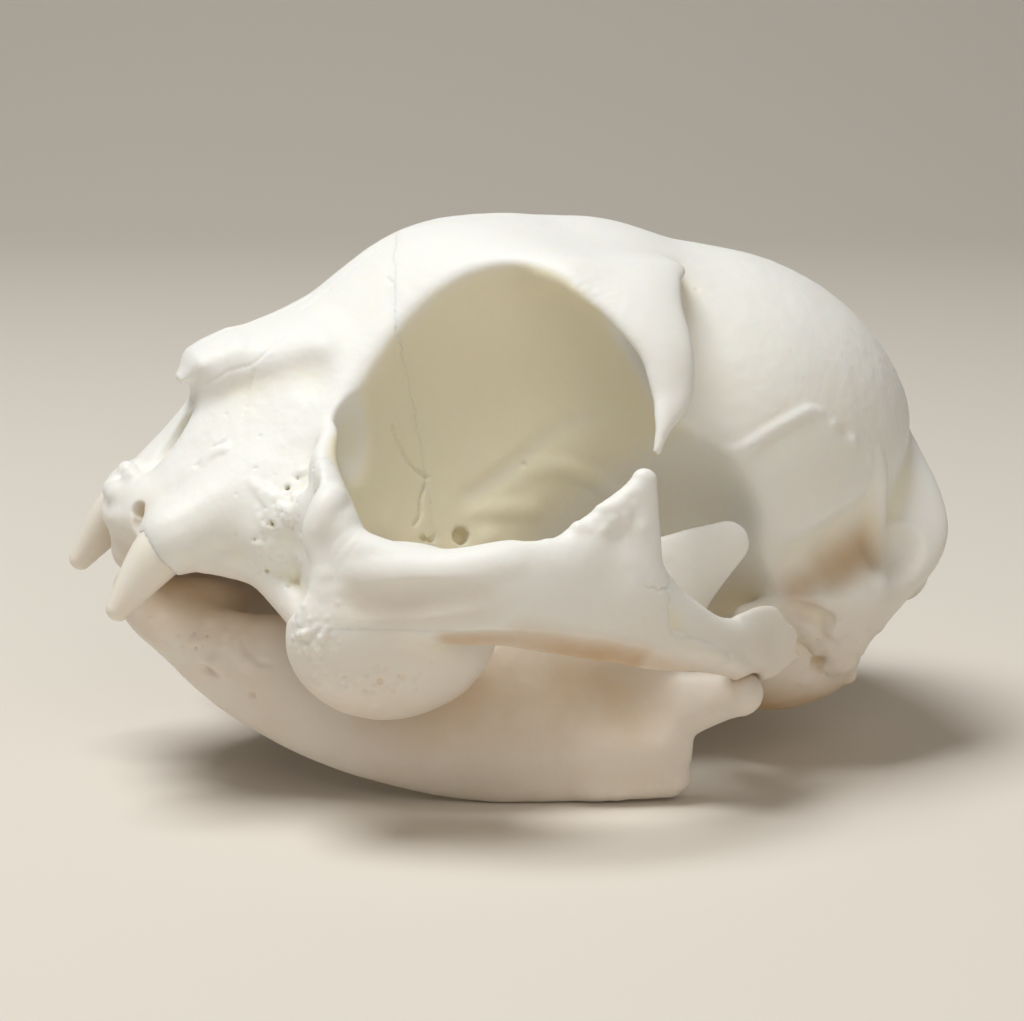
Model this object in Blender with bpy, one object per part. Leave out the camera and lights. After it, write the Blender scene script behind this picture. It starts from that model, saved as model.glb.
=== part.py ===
"""A life-size cat skull with its jaws closed, resting on the lower edges of the jaw.

The skull faces -Y, the animal's left is +X and the floor is Z = 0. Each bone is described as a
distance from its skin, blended from simple rounded shapes, and meshed as one closed solid.
"""

import bpy
from mathutils import Vector

# ---------------------------------------------------------------- driving dimensions, in mm
GAP = 0.34  # clear space left along a suture
ORIGIN = (0.0, 0.12, -0.02)  # where the footprint's middle lies in the shapes' own axes
FINE, MEDIUM = 0.45, 0.6  # grid of the meshed volume
FEWEST_POINTS = 400.0  # a loose piece with fewer mesh points is a sliver
PART = 0.01  # rounding where two parting planes meet

# Braincase
BRAIN_MIDDLE = (0.0, 17.4, 29.3)
BRAIN_HALF = (21.2, 23.4, 19.5)
BRAIN_PITCH = -0.10
# Forehead
BROW_MIDDLE = (0.0, -3.0, 32.5)
BROW_HALF = (19.0, 22.5, 18.9)
# Eye socket, an egg whose long axis leans inwards at the top
ORBIT_MIDDLE = (22.4, -7.4, 26.8)
ORBIT_HALF = (11.6, 16.0, 24.5)
ORBIT_TURN = (-0.04, -0.395, 0.03)
# Ear capsule under the braincase
BULLA_MIDDLE = (11.6, 22.6, 10.8)
BULLA_HALF = (5.9, 8.9, 6.0)
BULLA_TURN = (0.0, 0.0, -0.25)
# Teeth
CANINE_ROOT = (9.6, -31.8, 25.6)
CANINE_NECK = (10.0, -35.8, 24.4)
CANINE_TIP = (10.5, -40.2, 19.2)

for old in list(bpy.data.objects):
    bpy.data.objects.remove(old)


# ---------------------------------------------------------------- distance fields
class Field:
    """Distance to a bone's skin at every point, in mm: negative inside and positive outside.

    A mirrored field is described for the left side and repeats on the right.
    """

    def __init__(self, name, mirrored=True):
        self.group = bpy.data.node_groups.new(name, "GeometryNodeTree")
        self.group.interface.new_socket("Distance", in_out="OUTPUT", socket_type="NodeSocketFloat")
        here = self.group.nodes.new("GeometryNodeInputPosition").outputs[0]
        self.place = self.vec("ADD", self.vec("SCALE", here, scale=1000.0), ORIGIN)
        if mirrored:
            split = self.group.nodes.new("ShaderNodeSeparateXYZ")
            self.group.links.new(self.place, split.inputs[0])
            join = self.group.nodes.new("ShaderNodeCombineXYZ")
            self.group.links.new(self.calc("ABSOLUTE", split.outputs[0]), join.inputs[0])
            self.group.links.new(split.outputs[1], join.inputs[1])
            self.group.links.new(split.outputs[2], join.inputs[2])
            self.place = join.outputs[0]
        self.skin = None

    def feed(self, node, values):
        for socket, value in zip(node.inputs, values):
            if isinstance(value, bpy.types.NodeSocket):
                self.group.links.new(value, socket)
            else:
                socket.default_value = value

    def calc(self, kind, *values):
        node = self.group.nodes.new("ShaderNodeMath")
        node.operation = kind
        self.feed(node, values)
        return node.outputs[0]

    def vec(self, kind, *values, scale=None):
        node = self.group.nodes.new("ShaderNodeVectorMath")
        node.operation = kind
        self.feed(node, values)
        if scale is not None:
            node.inputs["Scale"].default_value = scale
        return node.outputs["Value" if kind in ("LENGTH", "DOT_PRODUCT") else "Vector"]

    def ball(self, middle, half, turn=(0.0, 0.0, 0.0)):
        """An ellipsoid with the given half sizes, turned about X, then Y, then Z."""
        q = self.vec("SUBTRACT", self.place, middle)
        if any(turn):
            node = self.group.nodes.new("ShaderNodeVectorRotate")
            node.rotation_type = "EULER_XYZ"
            node.invert = True
            self.group.links.new(q, node.inputs["Vector"])
            node.inputs["Rotation"].default_value = turn
            q = node.outputs[0]
        near = self.vec("LENGTH", self.vec("DIVIDE", q, half))
        steep = self.vec("LENGTH", self.vec("DIVIDE", q, tuple(h * h for h in half)))
        ratio = self.calc("DIVIDE", near, self.calc("ADD", steep, 1e-5))
        return self.calc("MULTIPLY", self.calc("SUBTRACT", near, 1.0), ratio)

    def blade(self, start, end, first, last, side=(0.0, 0.0, 1.0), disc=False):
        """A tapering bar with an oval section: half width along side, then half thickness.

        Its ends stand out by the half thickness, or as a disc by the half width.
        """
        start, end = Vector(start), Vector(end)
        along = (end - start).normalized()
        wide = Vector(side)
        wide = (wide - along * wide.dot(along)).normalized()
        thin = along.cross(wide)
        length = (end - start).length
        q = self.vec("SUBTRACT", self.place, tuple(start))
        u = self.vec("DOT_PRODUCT", q, tuple(along))
        h = self.calc("DIVIDE", u, length)
        held = self.calc("MINIMUM", self.calc("MAXIMUM", h, 0.0), 1.0)
        over = self.calc("MULTIPLY", self.calc("SUBTRACT", h, held), length)
        w = self.calc("MULTIPLY_ADD", held, last[0] - first[0], first[0])
        t = self.calc("MULTIPLY_ADD", held, last[1] - first[1], first[1])
        s = self.calc("DIVIDE", self.vec("DOT_PRODUCT", q, tuple(wide)), w)
        r = self.calc("DIVIDE", self.vec("DOT_PRODUCT", q, tuple(thin)), t)
        cap = w if disc else t
        o = self.calc("DIVIDE", over, cap)
        square = self.calc("MULTIPLY", s, s)
        square = self.calc("MULTIPLY_ADD", r, r, square)
        near = self.calc("SQRT", self.calc("MULTIPLY_ADD", o, o, square))
        sw, rt, ot = (self.calc("DIVIDE", a, b) for a, b in ((s, w), (r, t), (o, cap)))
        square = self.calc("MULTIPLY", sw, sw)
        square = self.calc("MULTIPLY_ADD", rt, rt, square)
        steep = self.calc("SQRT", self.calc("MULTIPLY_ADD", ot, ot, square))
        ratio = self.calc("DIVIDE", near, self.calc("ADD", steep, 1e-5))
        return self.calc("MULTIPLY", self.calc("SUBTRACT", near, 1.0), ratio)

    def band(self, stops, side=(0.0, 0.0, 1.0), blend=1.0, disc=False):
        """Blades end to end through stops of (point, half width, half thickness)."""
        whole = None
        for a, b in zip(stops, stops[1:]):
            piece = self.blade(a[0], b[0], a[1:], b[1:], side, disc)
            whole = piece if whole is None else self.calc("SMOOTH_MIN", whole, piece, blend)
        return whole

    def wall(self, point, facing):
        """Everything behind the plane through point that faces this way."""
        q = self.vec("SUBTRACT", self.place, point)
        return self.vec("DOT_PRODUCT", q, tuple(Vector(facing).normalized()))

    def add(self, shape, blend=0.5):
        first = self.skin is None
        self.skin = shape if first else self.calc("SMOOTH_MIN", self.skin, shape, blend)

    def carve(self, shape, blend=0.5):
        away = self.calc("MULTIPLY", shape, -1.0)
        self.skin = self.calc("SMOOTH_MAX", self.skin, away, blend)

    def keep(self, shape, blend=0.05):
        self.skin = self.calc("SMOOTH_MAX", self.skin, shape, blend)

    def other(self, field, grow=0.0):
        """The distance to another finished field, its skin moved out by grow."""
        node = self.group.nodes.new("GeometryNodeGroup")
        node.node_tree = field.group
        return self.calc("SUBTRACT", node.outputs[0], grow)

    def finish(self):
        out = self.group.nodes.new("NodeGroupOutput")
        self.group.links.new(self.skin, out.inputs[0])
        return self


def material(name, colour, roughness):
    made = bpy.data.materials.new(name)
    made.use_nodes = True
    shader = made.node_tree.nodes["Principled BSDF"]
    shader.inputs["Base Color"].default_value = (*colour, 1.0)
    shader.inputs["Roughness"].default_value = roughness
    shader.inputs["Metallic"].default_value = 0.0
    made.diffuse_color = (*colour, 1.0)
    return made


def solid(name, field, low, high, grid, faces, look):
    """Meshes a finished field inside a box given in mm, with about this many triangles."""
    tree = bpy.data.node_groups.new(name + " mesh", "GeometryNodeTree")
    for way in ("INPUT", "OUTPUT"):
        tree.interface.new_socket("Geometry", in_out=way, socket_type="NodeSocketGeometry")
    distance = tree.nodes.new("GeometryNodeGroup")
    distance.node_tree = field.group
    density = tree.nodes.new("ShaderNodeMath")
    density.operation = "MULTIPLY_ADD"
    tree.links.new(distance.outputs[0], density.inputs[0])
    density.inputs[1].default_value = -0.25  # falls from 1 to 0 over 4 mm, half at the skin
    density.inputs[2].default_value = 0.5
    cube = tree.nodes.new("GeometryNodeVolumeCube")
    tree.links.new(density.outputs[0], cube.inputs["Density"])
    cube.inputs["Min"].default_value = [v / 1000.0 for v in low]
    cube.inputs["Max"].default_value = [v / 1000.0 for v in high]
    for axis, a, b in zip("XYZ", low, high):
        cube.inputs["Resolution " + axis].default_value = int((b - a) / grid) + 1
    mesh = tree.nodes.new("GeometryNodeVolumeToMesh")
    tree.links.new(cube.outputs[0], mesh.inputs["Volume"])
    mesh.inputs["Threshold"].default_value = 0.5
    # a sliver cut loose where two bones part is dropped
    island = tree.nodes.new("GeometryNodeInputMeshIsland")
    points = tree.nodes.new("GeometryNodeAccumulateField")
    points.inputs["Value"].default_value = 1.0
    tree.links.new(island.outputs["Island Index"], points.inputs["Group Index"])
    loose = tree.nodes.new("FunctionNodeCompare")
    loose.operation = "LESS_THAN"
    tree.links.new(points.outputs["Total"], loose.inputs["A"])
    loose.inputs["B"].default_value = FEWEST_POINTS
    clean = tree.nodes.new("GeometryNodeDeleteGeometry")
    tree.links.new(mesh.outputs[0], clean.inputs["Geometry"])
    tree.links.new(loose.outputs[0], clean.inputs["Selection"])
    smooth = tree.nodes.new("GeometryNodeSetShadeSmooth")
    tree.links.new(clean.outputs[0], smooth.inputs["Geometry"])
    coat = tree.nodes.new("GeometryNodeSetMaterial")
    coat.inputs["Material"].default_value = look
    tree.links.new(smooth.outputs[0], coat.inputs["Geometry"])
    out = tree.nodes.new("NodeGroupOutput")
    tree.links.new(coat.outputs[0], out.inputs[0])
    data = bpy.data.meshes.new(name)
    data.materials.append(look)
    made = bpy.data.objects.new(name, data)
    bpy.context.collection.objects.link(made)
    made.modifiers.new("Shape", "NODES").node_group = tree
    bpy.context.view_layer.update()
    graph = bpy.context.evaluated_depsgraph_get()
    count = len(made.evaluated_get(graph).data.polygons) * 2
    fewer = made.modifiers.new("Fewer faces", "DECIMATE")
    fewer.ratio = min(1.0, faces / max(count, 1))
    return made


# ---------------------------------------------------------------- upper canines
canine = Field("Canine shape")
canine.add(canine.band((
    (CANINE_ROOT, 1.7, 1.4),
    (CANINE_NECK, 2.5, 2.1),
    (CANINE_TIP, 1.1, 1.0),
), side=(0.0, 1.0, 0.4), blend=1.5))
canine.finish()

# ---------------------------------------------------------------- lower jaw
jaw = Field("Lower jaw shape")
f = jaw
f.add(f.band((
    ((2.6, -35.9, 17.7), 2.6, 2.2),
    ((5.0, -33.0, 15.1), 3.1, 2.8),
    ((8.0, -27.8, 12.3), 4.9, 2.9),
    ((11.4, -20.6, 9.8), 6.6, 2.9),
    ((14.6, -14.0, 8.3), 7.1, 2.7),
    ((17.4, -6.0, 7.7), 7.9, 2.4),
    ((19.4, 0.6, 8.3), 8.6, 2.1),
), blend=1.0, disc=True))
# the tall blade behind, for the chewing muscle
f.add(f.band((
    ((17.6, -6.0, 9.5), 6.0, 2.1),
    ((19.5, 2.0, 14.6), 7.2, 1.6),
    ((20.8, 8.3, 20.8), 4.7, 1.3),
    ((21.9, 13.6, 23.9), 2.1, 0.9),
), side=(0, 0.4, 1), blend=1.0, disc=True), 2.0)
# the rolled joint end on its neck, the angle below it, and the chin
f.add(f.blade((26.3, 13.7, 11.0), (17.5, 12.8, 11.2), (1.8, 1.7), (1.7, 1.5)), 1.2)
f.add(f.blade((21.0, 7.0, 8.5), (25.6, 13.2, 10.9), (3.6, 1.7), (2.0, 1.6)), 1.5)
f.add(f.blade((20.6, 2.0, 5.0), (22.2, 6.8, 5.4), (4.6, 1.8), (3.4, 1.4), disc=True), 1.5)
f.add(f.blade((20.8, 4.0, 3.2), (21.8, 8.6, 2.6), (3.0, 1.9), (2.2, 1.6)), 1.0)
f.add(f.ball((3.0, -32.0, 17.0), (2.2, 5.4, 2.8)), 3.0)
f.keep(f.wall((0, 0, 0), (0, 0, -1)), 0.4)
jaw.finish()

# ---------------------------------------------------------------- whole upper skull
skull = Field("Upper skull shape")
f = skull
f.add(f.ball(BRAIN_MIDDLE, BRAIN_HALF, (BRAIN_PITCH, 0.0, 0.0)))
f.add(f.ball(BROW_MIDDLE, BROW_HALF), 5.0)
f.add(f.ball((0, 8.0, 32.0), (18.5, 15.5, 19.4)), 4.0)
# base of the braincase, from the ear region to the palate
f.add(f.blade((0, 36, 20), (0, 6, 17), (10, 5), (6.5, 4.5), (1, 0, 0)), 3.0)
f.add(f.blade((13, 18, 18), (16, 27, 17), (5, 6), (4.0, 5.5), (1, 0, 0)), 3.0)
f.add(f.blade((0, 8, 19), (0, -14, 22), (6.0, 6.5), (8.0, 6.0), (1, 0, 0)), 3.0)
# brow
f.add(f.blade((0, -2.0, 46.4), (14.0, -2.0, 45.8), (12.0, 5.2), (9.0, 4.2), (0, 1, 0)), 5.0)
# muzzle and palate
f.add(f.band((
    ((0, -35.6, 27.6), 7.4, 4.4),
    ((0, -31.0, 31.0), 9.0, 7.8),
    ((0, -26.5, 32.2), 12.2, 9.6),
    ((0, -19.0, 33.0), 16.0, 11.2),
), side=(1, 0, 0), blend=1.0), 3.0)
f.add(f.ball((9.0, -23.0, 27.0), (9.0, 8.0, 8.0)), 3.0)
f.add(f.blade((0, -36, 25.5), (0, -14, 20.5), (7.5, 2.6), (12.0, 2.6), (1, 0, 0)), 2.5)
# the nose opening lies in two slopes, and a third flattens the side of the muzzle
slope = f.wall((0, -34.1, 32.2), (0, -0.74, 0.67))
steep = f.wall((0, -31.2, 36.0), (0, -0.90, 0.44))
f.keep(f.calc("SMOOTH_MIN", slope, steep, 1.5), 1.2)
f.keep(f.wall((10.0, -30.9, 30.6), (0.55, -0.52, 0.65)), 4.0)
f.add(f.blade((0, -28.4, 38.8), (0, -20.0, 40.6), (4.6, 2.8), (8.0, 3.2), (1, 0, 0)), 3.0)
f.add(f.blade((0, -35.6, 27.0), (0, -36.4, 22.2), (6.8, 3.2), (4.8, 2.4), (1, 0, 0)), 1.2)
# eye socket and the hollow behind and below it
eye = f.ball(ORBIT_MIDDLE, ORBIT_HALF, ORBIT_TURN)
behind = f.ball((24.0, 3.0, 23.0), (14.0, 15.0, 14.0))
below = f.blade((20.5, -12, 13.0), (20.5, 14, 13.0), (9.5, 9.5), (9.5, 7.5))
hollow = f.calc("SMOOTH_MIN", eye, f.calc("SMOOTH_MIN", behind, below, 4.0), 4.0)
f.carve(hollow, 3.0)
# brow ridge and the horn behind the eye
f.add(f.band((
    ((6.0, 4.0, 47.4), 8.0, 2.4),
    ((13.0, 5.4, 47.5), 7.4, 1.9),
    ((16.6, 6.4, 46.4), 6.2, 1.5),
    ((19.8, 7.0, 44.5), 4.4, 1.3),
    ((22.7, 7.2, 42.0), 2.9, 1.1),
    ((24.7, 7.0, 38.6), 1.9, 0.9),
    ((25.9, 6.0, 36.6), 1.1, 0.7),
    ((26.9, 4.9, 34.3), 0.6, 0.6),
), side=(0, 1, 0), blend=1.0), 2.0)
# pillar in front of the eye
f.add(f.band((
    ((12.4, -19.6, 39.2), 0.5, 0.5),
    ((14.9, -21.6, 36.2), 1.0, 1.0),
    ((18.4, -23.2, 32.2), 1.7, 1.7),
    ((22.0, -23.2, 28.2), 2.2, 2.2),
), blend=1.0), 3.0)
# root of the canine, a rounded ridge up the muzzle, and the toothless rim behind it
f.add(f.blade((9.9, -34.5, 25.2), (9.8, -27.0, 29.0), (3.3, 3.3), (2.8, 2.8)), 4.0)
f.add(f.band((
    ((11.3, -32.0, 23.4), 1.3, 1.2),
    ((13.4, -27.6, 22.2), 1.4, 1.2),
    ((17.5, -25.0, 19.0), 1.6, 1.3),
), blend=1.0), 1.5)
# cheek: the swollen jaw rim, the cheekbone and the arch
f.add(f.ball((22.3, -18.0, 18.4), (5.2, 9.6, 8.1), (0.0, 0.12, 0.0)), 2.0)
f.add(f.band((
    ((18.0, -23.6, 27.8), 3.6, 2.6),
    ((23.6, -21.8, 24.0), 4.1, 2.4),
    ((28.0, -15.2, 22.6), 4.1, 2.3),
    ((30.2, -9.0, 22.8), 4.7, 2.0),
    ((30.7, -1.0, 21.6), 5.2, 1.7),
    ((30.1, 4.2, 18.8), 3.9, 1.7),
    ((28.6, 9.4, 16.5), 2.6, 1.6),
    ((26.0, 14.4, 15.0), 2.8, 1.4),
    ((23.8, 17.0, 14.2), 2.2, 1.2),
), blend=1.0), 1.6)
f.add(f.blade((30.4, -4.6, 25.0), (29.4, 1.8, 31.0), (2.6, 1.6), (0.9, 0.9), (0, 1, 0)), 1.5)
f.add(f.blade((30.6, 0.8, 22.5), (29.2, 2.8, 32.0), (3.4, 1.6), (1.1, 0.9), (0, 1, 0)), 1.0)
# the arch's root on the braincase
f.add(f.blade((23.0, 16.4, 12.6), (14.0, 19.0, 13.0), (1.2, 2.4), (3.0, 3.0)), 1.5)
# ear region: bulla, mastoid and the slit of the ear opening
f.add(f.ball(BULLA_MIDDLE, BULLA_HALF, BULLA_TURN), 1.2)
f.add(f.ball((17.2, 26.8, 13.2), (2.4, 2.6, 4.0)), 1.5)
f.carve(f.band((
    ((20.9, 17.4, 17.0), 1.2, 1.2),
    ((20.9, 21.0, 15.8), 2.8, 1.9),
    ((19.8, 24.5, 15.2), 1.5, 1.3),
)), 0.6)
# leaf-shaped end of the arch over the jaw joint
f.add(f.band((
    ((27.2, 12.6, 15.6), 3.0, 1.0),
    ((25.6, 15.6, 15.4), 3.4, 0.9),
    ((24.4, 18.2, 15.0), 2.9, 0.8),
    ((23.5, 20.2, 14.6), 1.7, 0.7),
)), 0.5)
# hollow behind the crest, then the crest at the back of the head down to the mastoid
f.carve(f.band((
    ((4.0, 43.5, 31.5), 3.0, 3.0),
    ((12.5, 40.6, 28.0), 3.6, 3.6),
    ((19.5, 35.0, 23.5), 4.2, 4.2),
    ((22.5, 28.0, 20.0), 3.4, 3.4),
)), 3.0)
f.add(f.band((
    ((0.0, 36.6, 32.0), 3.0, 2.0),
    ((8.4, 36.4, 28.4), 3.2, 1.6),
    ((13.8, 36.6, 22.4), 3.4, 1.4),
    ((16.4, 31.8, 17.9), 3.2, 1.5),
    ((17.8, 27.8, 14.4), 2.6, 1.6),
), side=(0, 1, 0)), 1.5)
f.carve(f.ball((0, 47.5, 22.0), (16.0, 10.0, 8.5)), 2.0)
# condyles of the head beside the way out of the spinal cord
f.add(f.ball((7.4, 37.6, 17.8), (3.2, 3.6, 4.8), (0.5, 0.0, 0.3)), 1.2)
f.carve(f.ball((0, 40.0, 20.5), (6.2, 9.0, 5.4)), 0.8)
# nose opening and the passage behind it
f.carve(f.blade((0, -40.0, 31.4), (0, -29.0, 35.4), (2.6, 3.0), (2.5, 3.2), (1, 0, 0)), 1.6)
f.add(f.band((
    ((3.2, -30.8, 36.6), 0.8, 0.8),
    ((3.7, -33.5, 32.5), 0.9, 0.9),
    ((3.0, -37.0, 28.8), 1.1, 1.1),
)), 2.5)
# roof of the nose ends in a small hook
f.add(f.blade((0, -27.0, 40.4), (0, -31.0, 40.2), (4.4, 1.6), (2.9, 0.7), (1, 0, 0)), 1.5)
f.add(f.blade((0, -31.0, 40.2), (0, -32.1, 38.7), (2.9, 0.7), (2.0, 0.6), (1, 0, 0)), 0.5)
# hollow of the palate and the way out of the nose at the back
f.carve(f.blade((0, -32, 18.2), (0, -12, 14.6), (5.5, 3.0), (9.5, 3.6), (1, 0, 0)), 1.5)
f.carve(f.blade((0, -12, 17.5), (0, 4, 14.0), (4.0, 3.2), (3.2, 2.4), (1, 0, 0)), 1.0)
# canine sockets, and room for the lower jaw and its joint
f.carve(f.other(canine, GAP + 0.1), 0.05)
f.carve(f.other(jaw, GAP + 0.1), 0.3)
skull.finish()

# ---------------------------------------------------------------- lines along which it parts
# Each region is negative inside. The face ends at a plane on each side that crosses the eye
# socket, and it keeps the swollen jaw rim under the cheekbone.
face_region = Field("Face region")
f = face_region
f.skin = f.wall((0.0, -11.0, 50.7), (0.41, 0.90, 0.17))
outer = f.calc("MAXIMUM", f.wall((0, -6.0, 0), (0, 1, 0)), f.wall((15.0, 0, 0), (-1, 0, 0)))
jaw_rim = f.calc("MAXIMUM", outer, f.wall((0, 0, 27.5), (0, 0, 1)))
f.skin = f.calc("MINIMUM", f.skin, jaw_rim)
face_region.finish()

# The cheekbone starts at a sloping plane outside the eye socket and ends at a step
# in the arch, below the tip of the horn behind the eye.
cheek_region = Field("Cheekbone region")
f = cheek_region
f.skin = f.wall((19.5, -24.0, 31.5), (-0.93, 0.10, -0.36))
above_jaw_rim = f.wall((0, 0, 20.0), (0, 0, -1))
behind_jaw_rim = f.wall((0, -9.6, 0), (0, -1, 0))
f.keep(f.calc("MINIMUM", above_jaw_rim, behind_jaw_rim), PART)
f.keep(f.wall((27.9, 3.4, 33.9), (0.0, 0.5, 1.0)), PART)
step_top = f.wall((30.0, 7.4, 17.7), (0.0, -0.47, -0.88))
step_front = f.wall((30.0, 4.3, 19.0), (0.0, -1.0, 0.0))
f.keep(f.calc("MULTIPLY", f.calc("MAXIMUM", step_top, step_front), -1.0), PART)
cheek_region.finish()

bulla_region = Field("Bulla region")
f = bulla_region
f.skin = f.ball(BULLA_MIDDLE, tuple(h + 0.5 for h in BULLA_HALF), BULLA_TURN)
f.keep(f.wall((0, 0, 13.0), (0, 0, 1)), PART)
bulla_region.finish()


# ---------------------------------------------------------------- the bones
def bone(name, shape, regions, low, high, grid, faces, sign=0):
    """Meshes the part of a shape inside or outside regions, on one side if sign isn't 0."""
    made = Field(name + " shape", mirrored=False)
    made.add(made.other(shape))
    for region, inside in regions:
        edge = made.other(region, -GAP / 2) if inside else made.other(region, GAP / 2)
        made.keep(edge if inside else made.calc("MULTIPLY", edge, -1.0))
    if sign:
        made.keep(made.wall((sign * GAP / 2, 0, 0), (-sign, 0, 0)))
        if sign < 0:
            low, high = (-high[0], low[1], low[2]), (-low[0], high[1], high[2])
    made.finish()
    look = TOOTH if shape is canine else BONE
    solid(name, made, low, high, grid, faces, look)


BONE = material("Skull bone", (0.86, 0.84, 0.78), 0.48)
TOOTH = material("Tooth", (0.88, 0.82, 0.70), 0.35)

bone("braincase", skull, ((face_region, False), (cheek_region, False), (bulla_region, False)),
     (-28, -22, 6), (28, 43, 53), MEDIUM, 2700)
bone("face", skull, ((face_region, True), (cheek_region, False)),
     (-30, -42, 8), (30, -2, 52), FINE, 2500)
for side, sign in (("left", 1), ("right", -1)):
    bone("cheekbone_" + side, skull, ((cheek_region, True),),
         (17, -28, 8), (34, 17, 35), FINE, 500, sign)
    bone("bulla_" + side, skull, ((bulla_region, True),), (4, 12, 3), (19, 33, 14), FINE, 220, sign)
    bone("canine_" + side, canine, (), (6, -43, 15), (14, -29, 33), 0.3, 130, sign)
    bone("mandible_" + side, jaw, (), (-0.5, -40, -1), (30, 19, 28), FINE, 1000, sign)
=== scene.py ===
# %% [markdown]
# # A cat skull, bone by bone
#
# This lesson dresses a measured model of a short-faced cat's skull. The plain solids come from
# the part's own source and are loaded first. Each bone then gets a fine surface of its own, with
# its sutures, pores and rounded edges, and a bone material with painted shade in its hollows and
# on its underside. Sizes are in millimetres while a bone is shaped, and turn to metres when its
# mesh is made. X points to the skull's left, Y to the back of its head and Z up. Only the left half
# is modelled, and the right half mirrors it.

# %% Load the frame and keep its size
import copy
import math
import time

import bpy
import numpy as np
from mathutils import Matrix, Vector


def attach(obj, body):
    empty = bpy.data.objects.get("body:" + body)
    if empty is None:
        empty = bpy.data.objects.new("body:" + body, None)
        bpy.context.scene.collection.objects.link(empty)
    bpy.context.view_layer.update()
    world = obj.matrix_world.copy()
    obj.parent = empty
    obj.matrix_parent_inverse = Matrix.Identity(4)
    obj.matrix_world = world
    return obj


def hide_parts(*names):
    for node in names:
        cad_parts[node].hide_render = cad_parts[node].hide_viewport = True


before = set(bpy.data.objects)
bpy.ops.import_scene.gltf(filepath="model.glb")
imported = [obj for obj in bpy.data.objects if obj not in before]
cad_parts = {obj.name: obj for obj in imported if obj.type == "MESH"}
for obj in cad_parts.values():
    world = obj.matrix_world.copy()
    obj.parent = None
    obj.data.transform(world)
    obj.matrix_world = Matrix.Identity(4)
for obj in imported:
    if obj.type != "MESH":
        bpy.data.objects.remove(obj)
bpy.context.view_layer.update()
began = time.time()
print("solids:", ", ".join(sorted(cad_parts)))

# %% [markdown]
# ## Clay: a block of distances
#
# Bone has no flat faces and few edges, so it is awkward to build from boxes and bevels. Sculpting
# by hand gives such forms, but can't be written down or measured. Here the skull is modelled the
# way a sculptor works in clay, by adding and carving rounded lumps whose sizes are all known. The
# clay is a block of numbers: each says how far its point lies from the surface, below zero inside
# the bone. Joining two lumps is then one formula, and a soft minimum leaves a fillet between them.

# %% Soft minimum and the block of clay
ORIGIN = (0.0, 0.12, -0.02)  # the floor's middle in the shapes' own axes
FAR = 9.0  # what an empty block says everywhere, in mm
BEYOND = 99  # a corner of a shape without ends, in mm


def soft_min(a, b, blend):
    """The smaller of two distances, with a fillet about as wide as blend."""
    if blend <= 0:
        return np.minimum(a, b)
    h = np.maximum(blend - np.abs(a - b), 0) / blend
    return np.minimum(a, b) - h * h * h * (blend / 6)


class Clay:
    """A block of distances in mm. A mirrored block holds the left half only."""

    def __init__(self, low, high, step, mirrored=False):
        self.step, self.mirrored = step, mirrored
        low = list(low)
        if mirrored:
            low[0] = step / 2
        self.low = low
        self.axis = [
            (low[i] + step * np.arange(int((high[i] - low[i]) / step) + 2)).astype(np.float32)
            for i in range(3)
        ]
        self.d = np.full([len(a) for a in self.axis], FAR, np.float32)

    def window(self, low, high):
        """The part of the block between two corners, and its coordinates."""
        cut = []
        for a, lo, hi in zip(self.axis, low, high):
            first, last = np.searchsorted(a, lo), np.searchsorted(a, hi)
            if last - first < 1:
                return None, None
            cut.append(slice(first, last))
        x, y, z = (a[c] for a, c in zip(self.axis, cut))
        return tuple(cut), (x[:, None, None], y[None, :, None], z[None, None, :])

    def work(self, shape, blend, join):
        """Joins a shape to the clay inside the shape's own window, or part by part."""
        reach = blend + 1.0
        cut, place = self.window([v - reach for v in shape.low], [v + reach for v in shape.high])
        if cut is None:
            return
        if not shape.parts:
            self.d[cut] = join(self.d[cut], shape.distance(*place).astype(np.float32), blend)
            return
        lump = np.full(self.d[cut].shape, FAR, np.float32)
        for part in shape.parts:
            own, place = self.window([v - reach for v in part.low], [v + reach for v in part.high])
            if own is not None:
                there = tuple(slice(a.start - b.start, a.stop - b.start) for a, b in zip(own, cut))
                lump[there] = np.minimum(lump[there], part.distance(*place))
        self.d[cut] = join(self.d[cut], lump, blend)

    def add(self, shape, blend=0.5):
        self.work(shape, blend, soft_min)

    def carve(self, shape, blend=0.5):
        self.work(shape, blend, lambda a, b, k: -soft_min(-a, b, k))

    def keep(self, shape, blend=0.05):
        """Carves away all that lies outside a shape."""
        self.carve_grid(-self.read(shape), blend)

    def read(self, shape):
        """A shape's distance at every point of the block."""
        cut, place = self.window((-BEYOND,) * 3, (BEYOND,) * 3)
        return shape.distance(*place).astype(np.float32)

    def carve_grid(self, other, blend):
        """Carves with distances that are known at every point of the block."""
        self.d = -soft_min(-self.d, other, blend)

    def blank(self):
        """An empty block with the same points."""
        other = copy.copy(self)
        other.d = np.full_like(self.d, FAR)
        return other

    def both_sides(self, values):
        """These values with their mirror image, if the block holds the left half only."""
        return np.concatenate([values[::-1], values]) if self.mirrored else values

    def volume(self):
        """How many cubic centimetres of clay there are, on both sides."""
        cells = np.clip(0.5 - self.d / self.step, 0, 1).sum()
        return cells * self.step ** 3 * (2 if self.mirrored else 1) / 1000


print("two lumps 1 mm away, with a 3 mm fillet, read", soft_min(1.0, 1.0, 3.0))

# %% [markdown]
# ## Balls, blades, bands and walls
#
# A ball is an ellipsoid, for the braincase and the eye sockets. A blade is a tapering bar with an
# oval section, for horns and ridges, and a band is a row of blades along a curve, for arches. A
# wall is everything behind a plane, and parts one bone from the next. Few kinds are enough,
# because the fillets between them make the forms of real bone.

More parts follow.
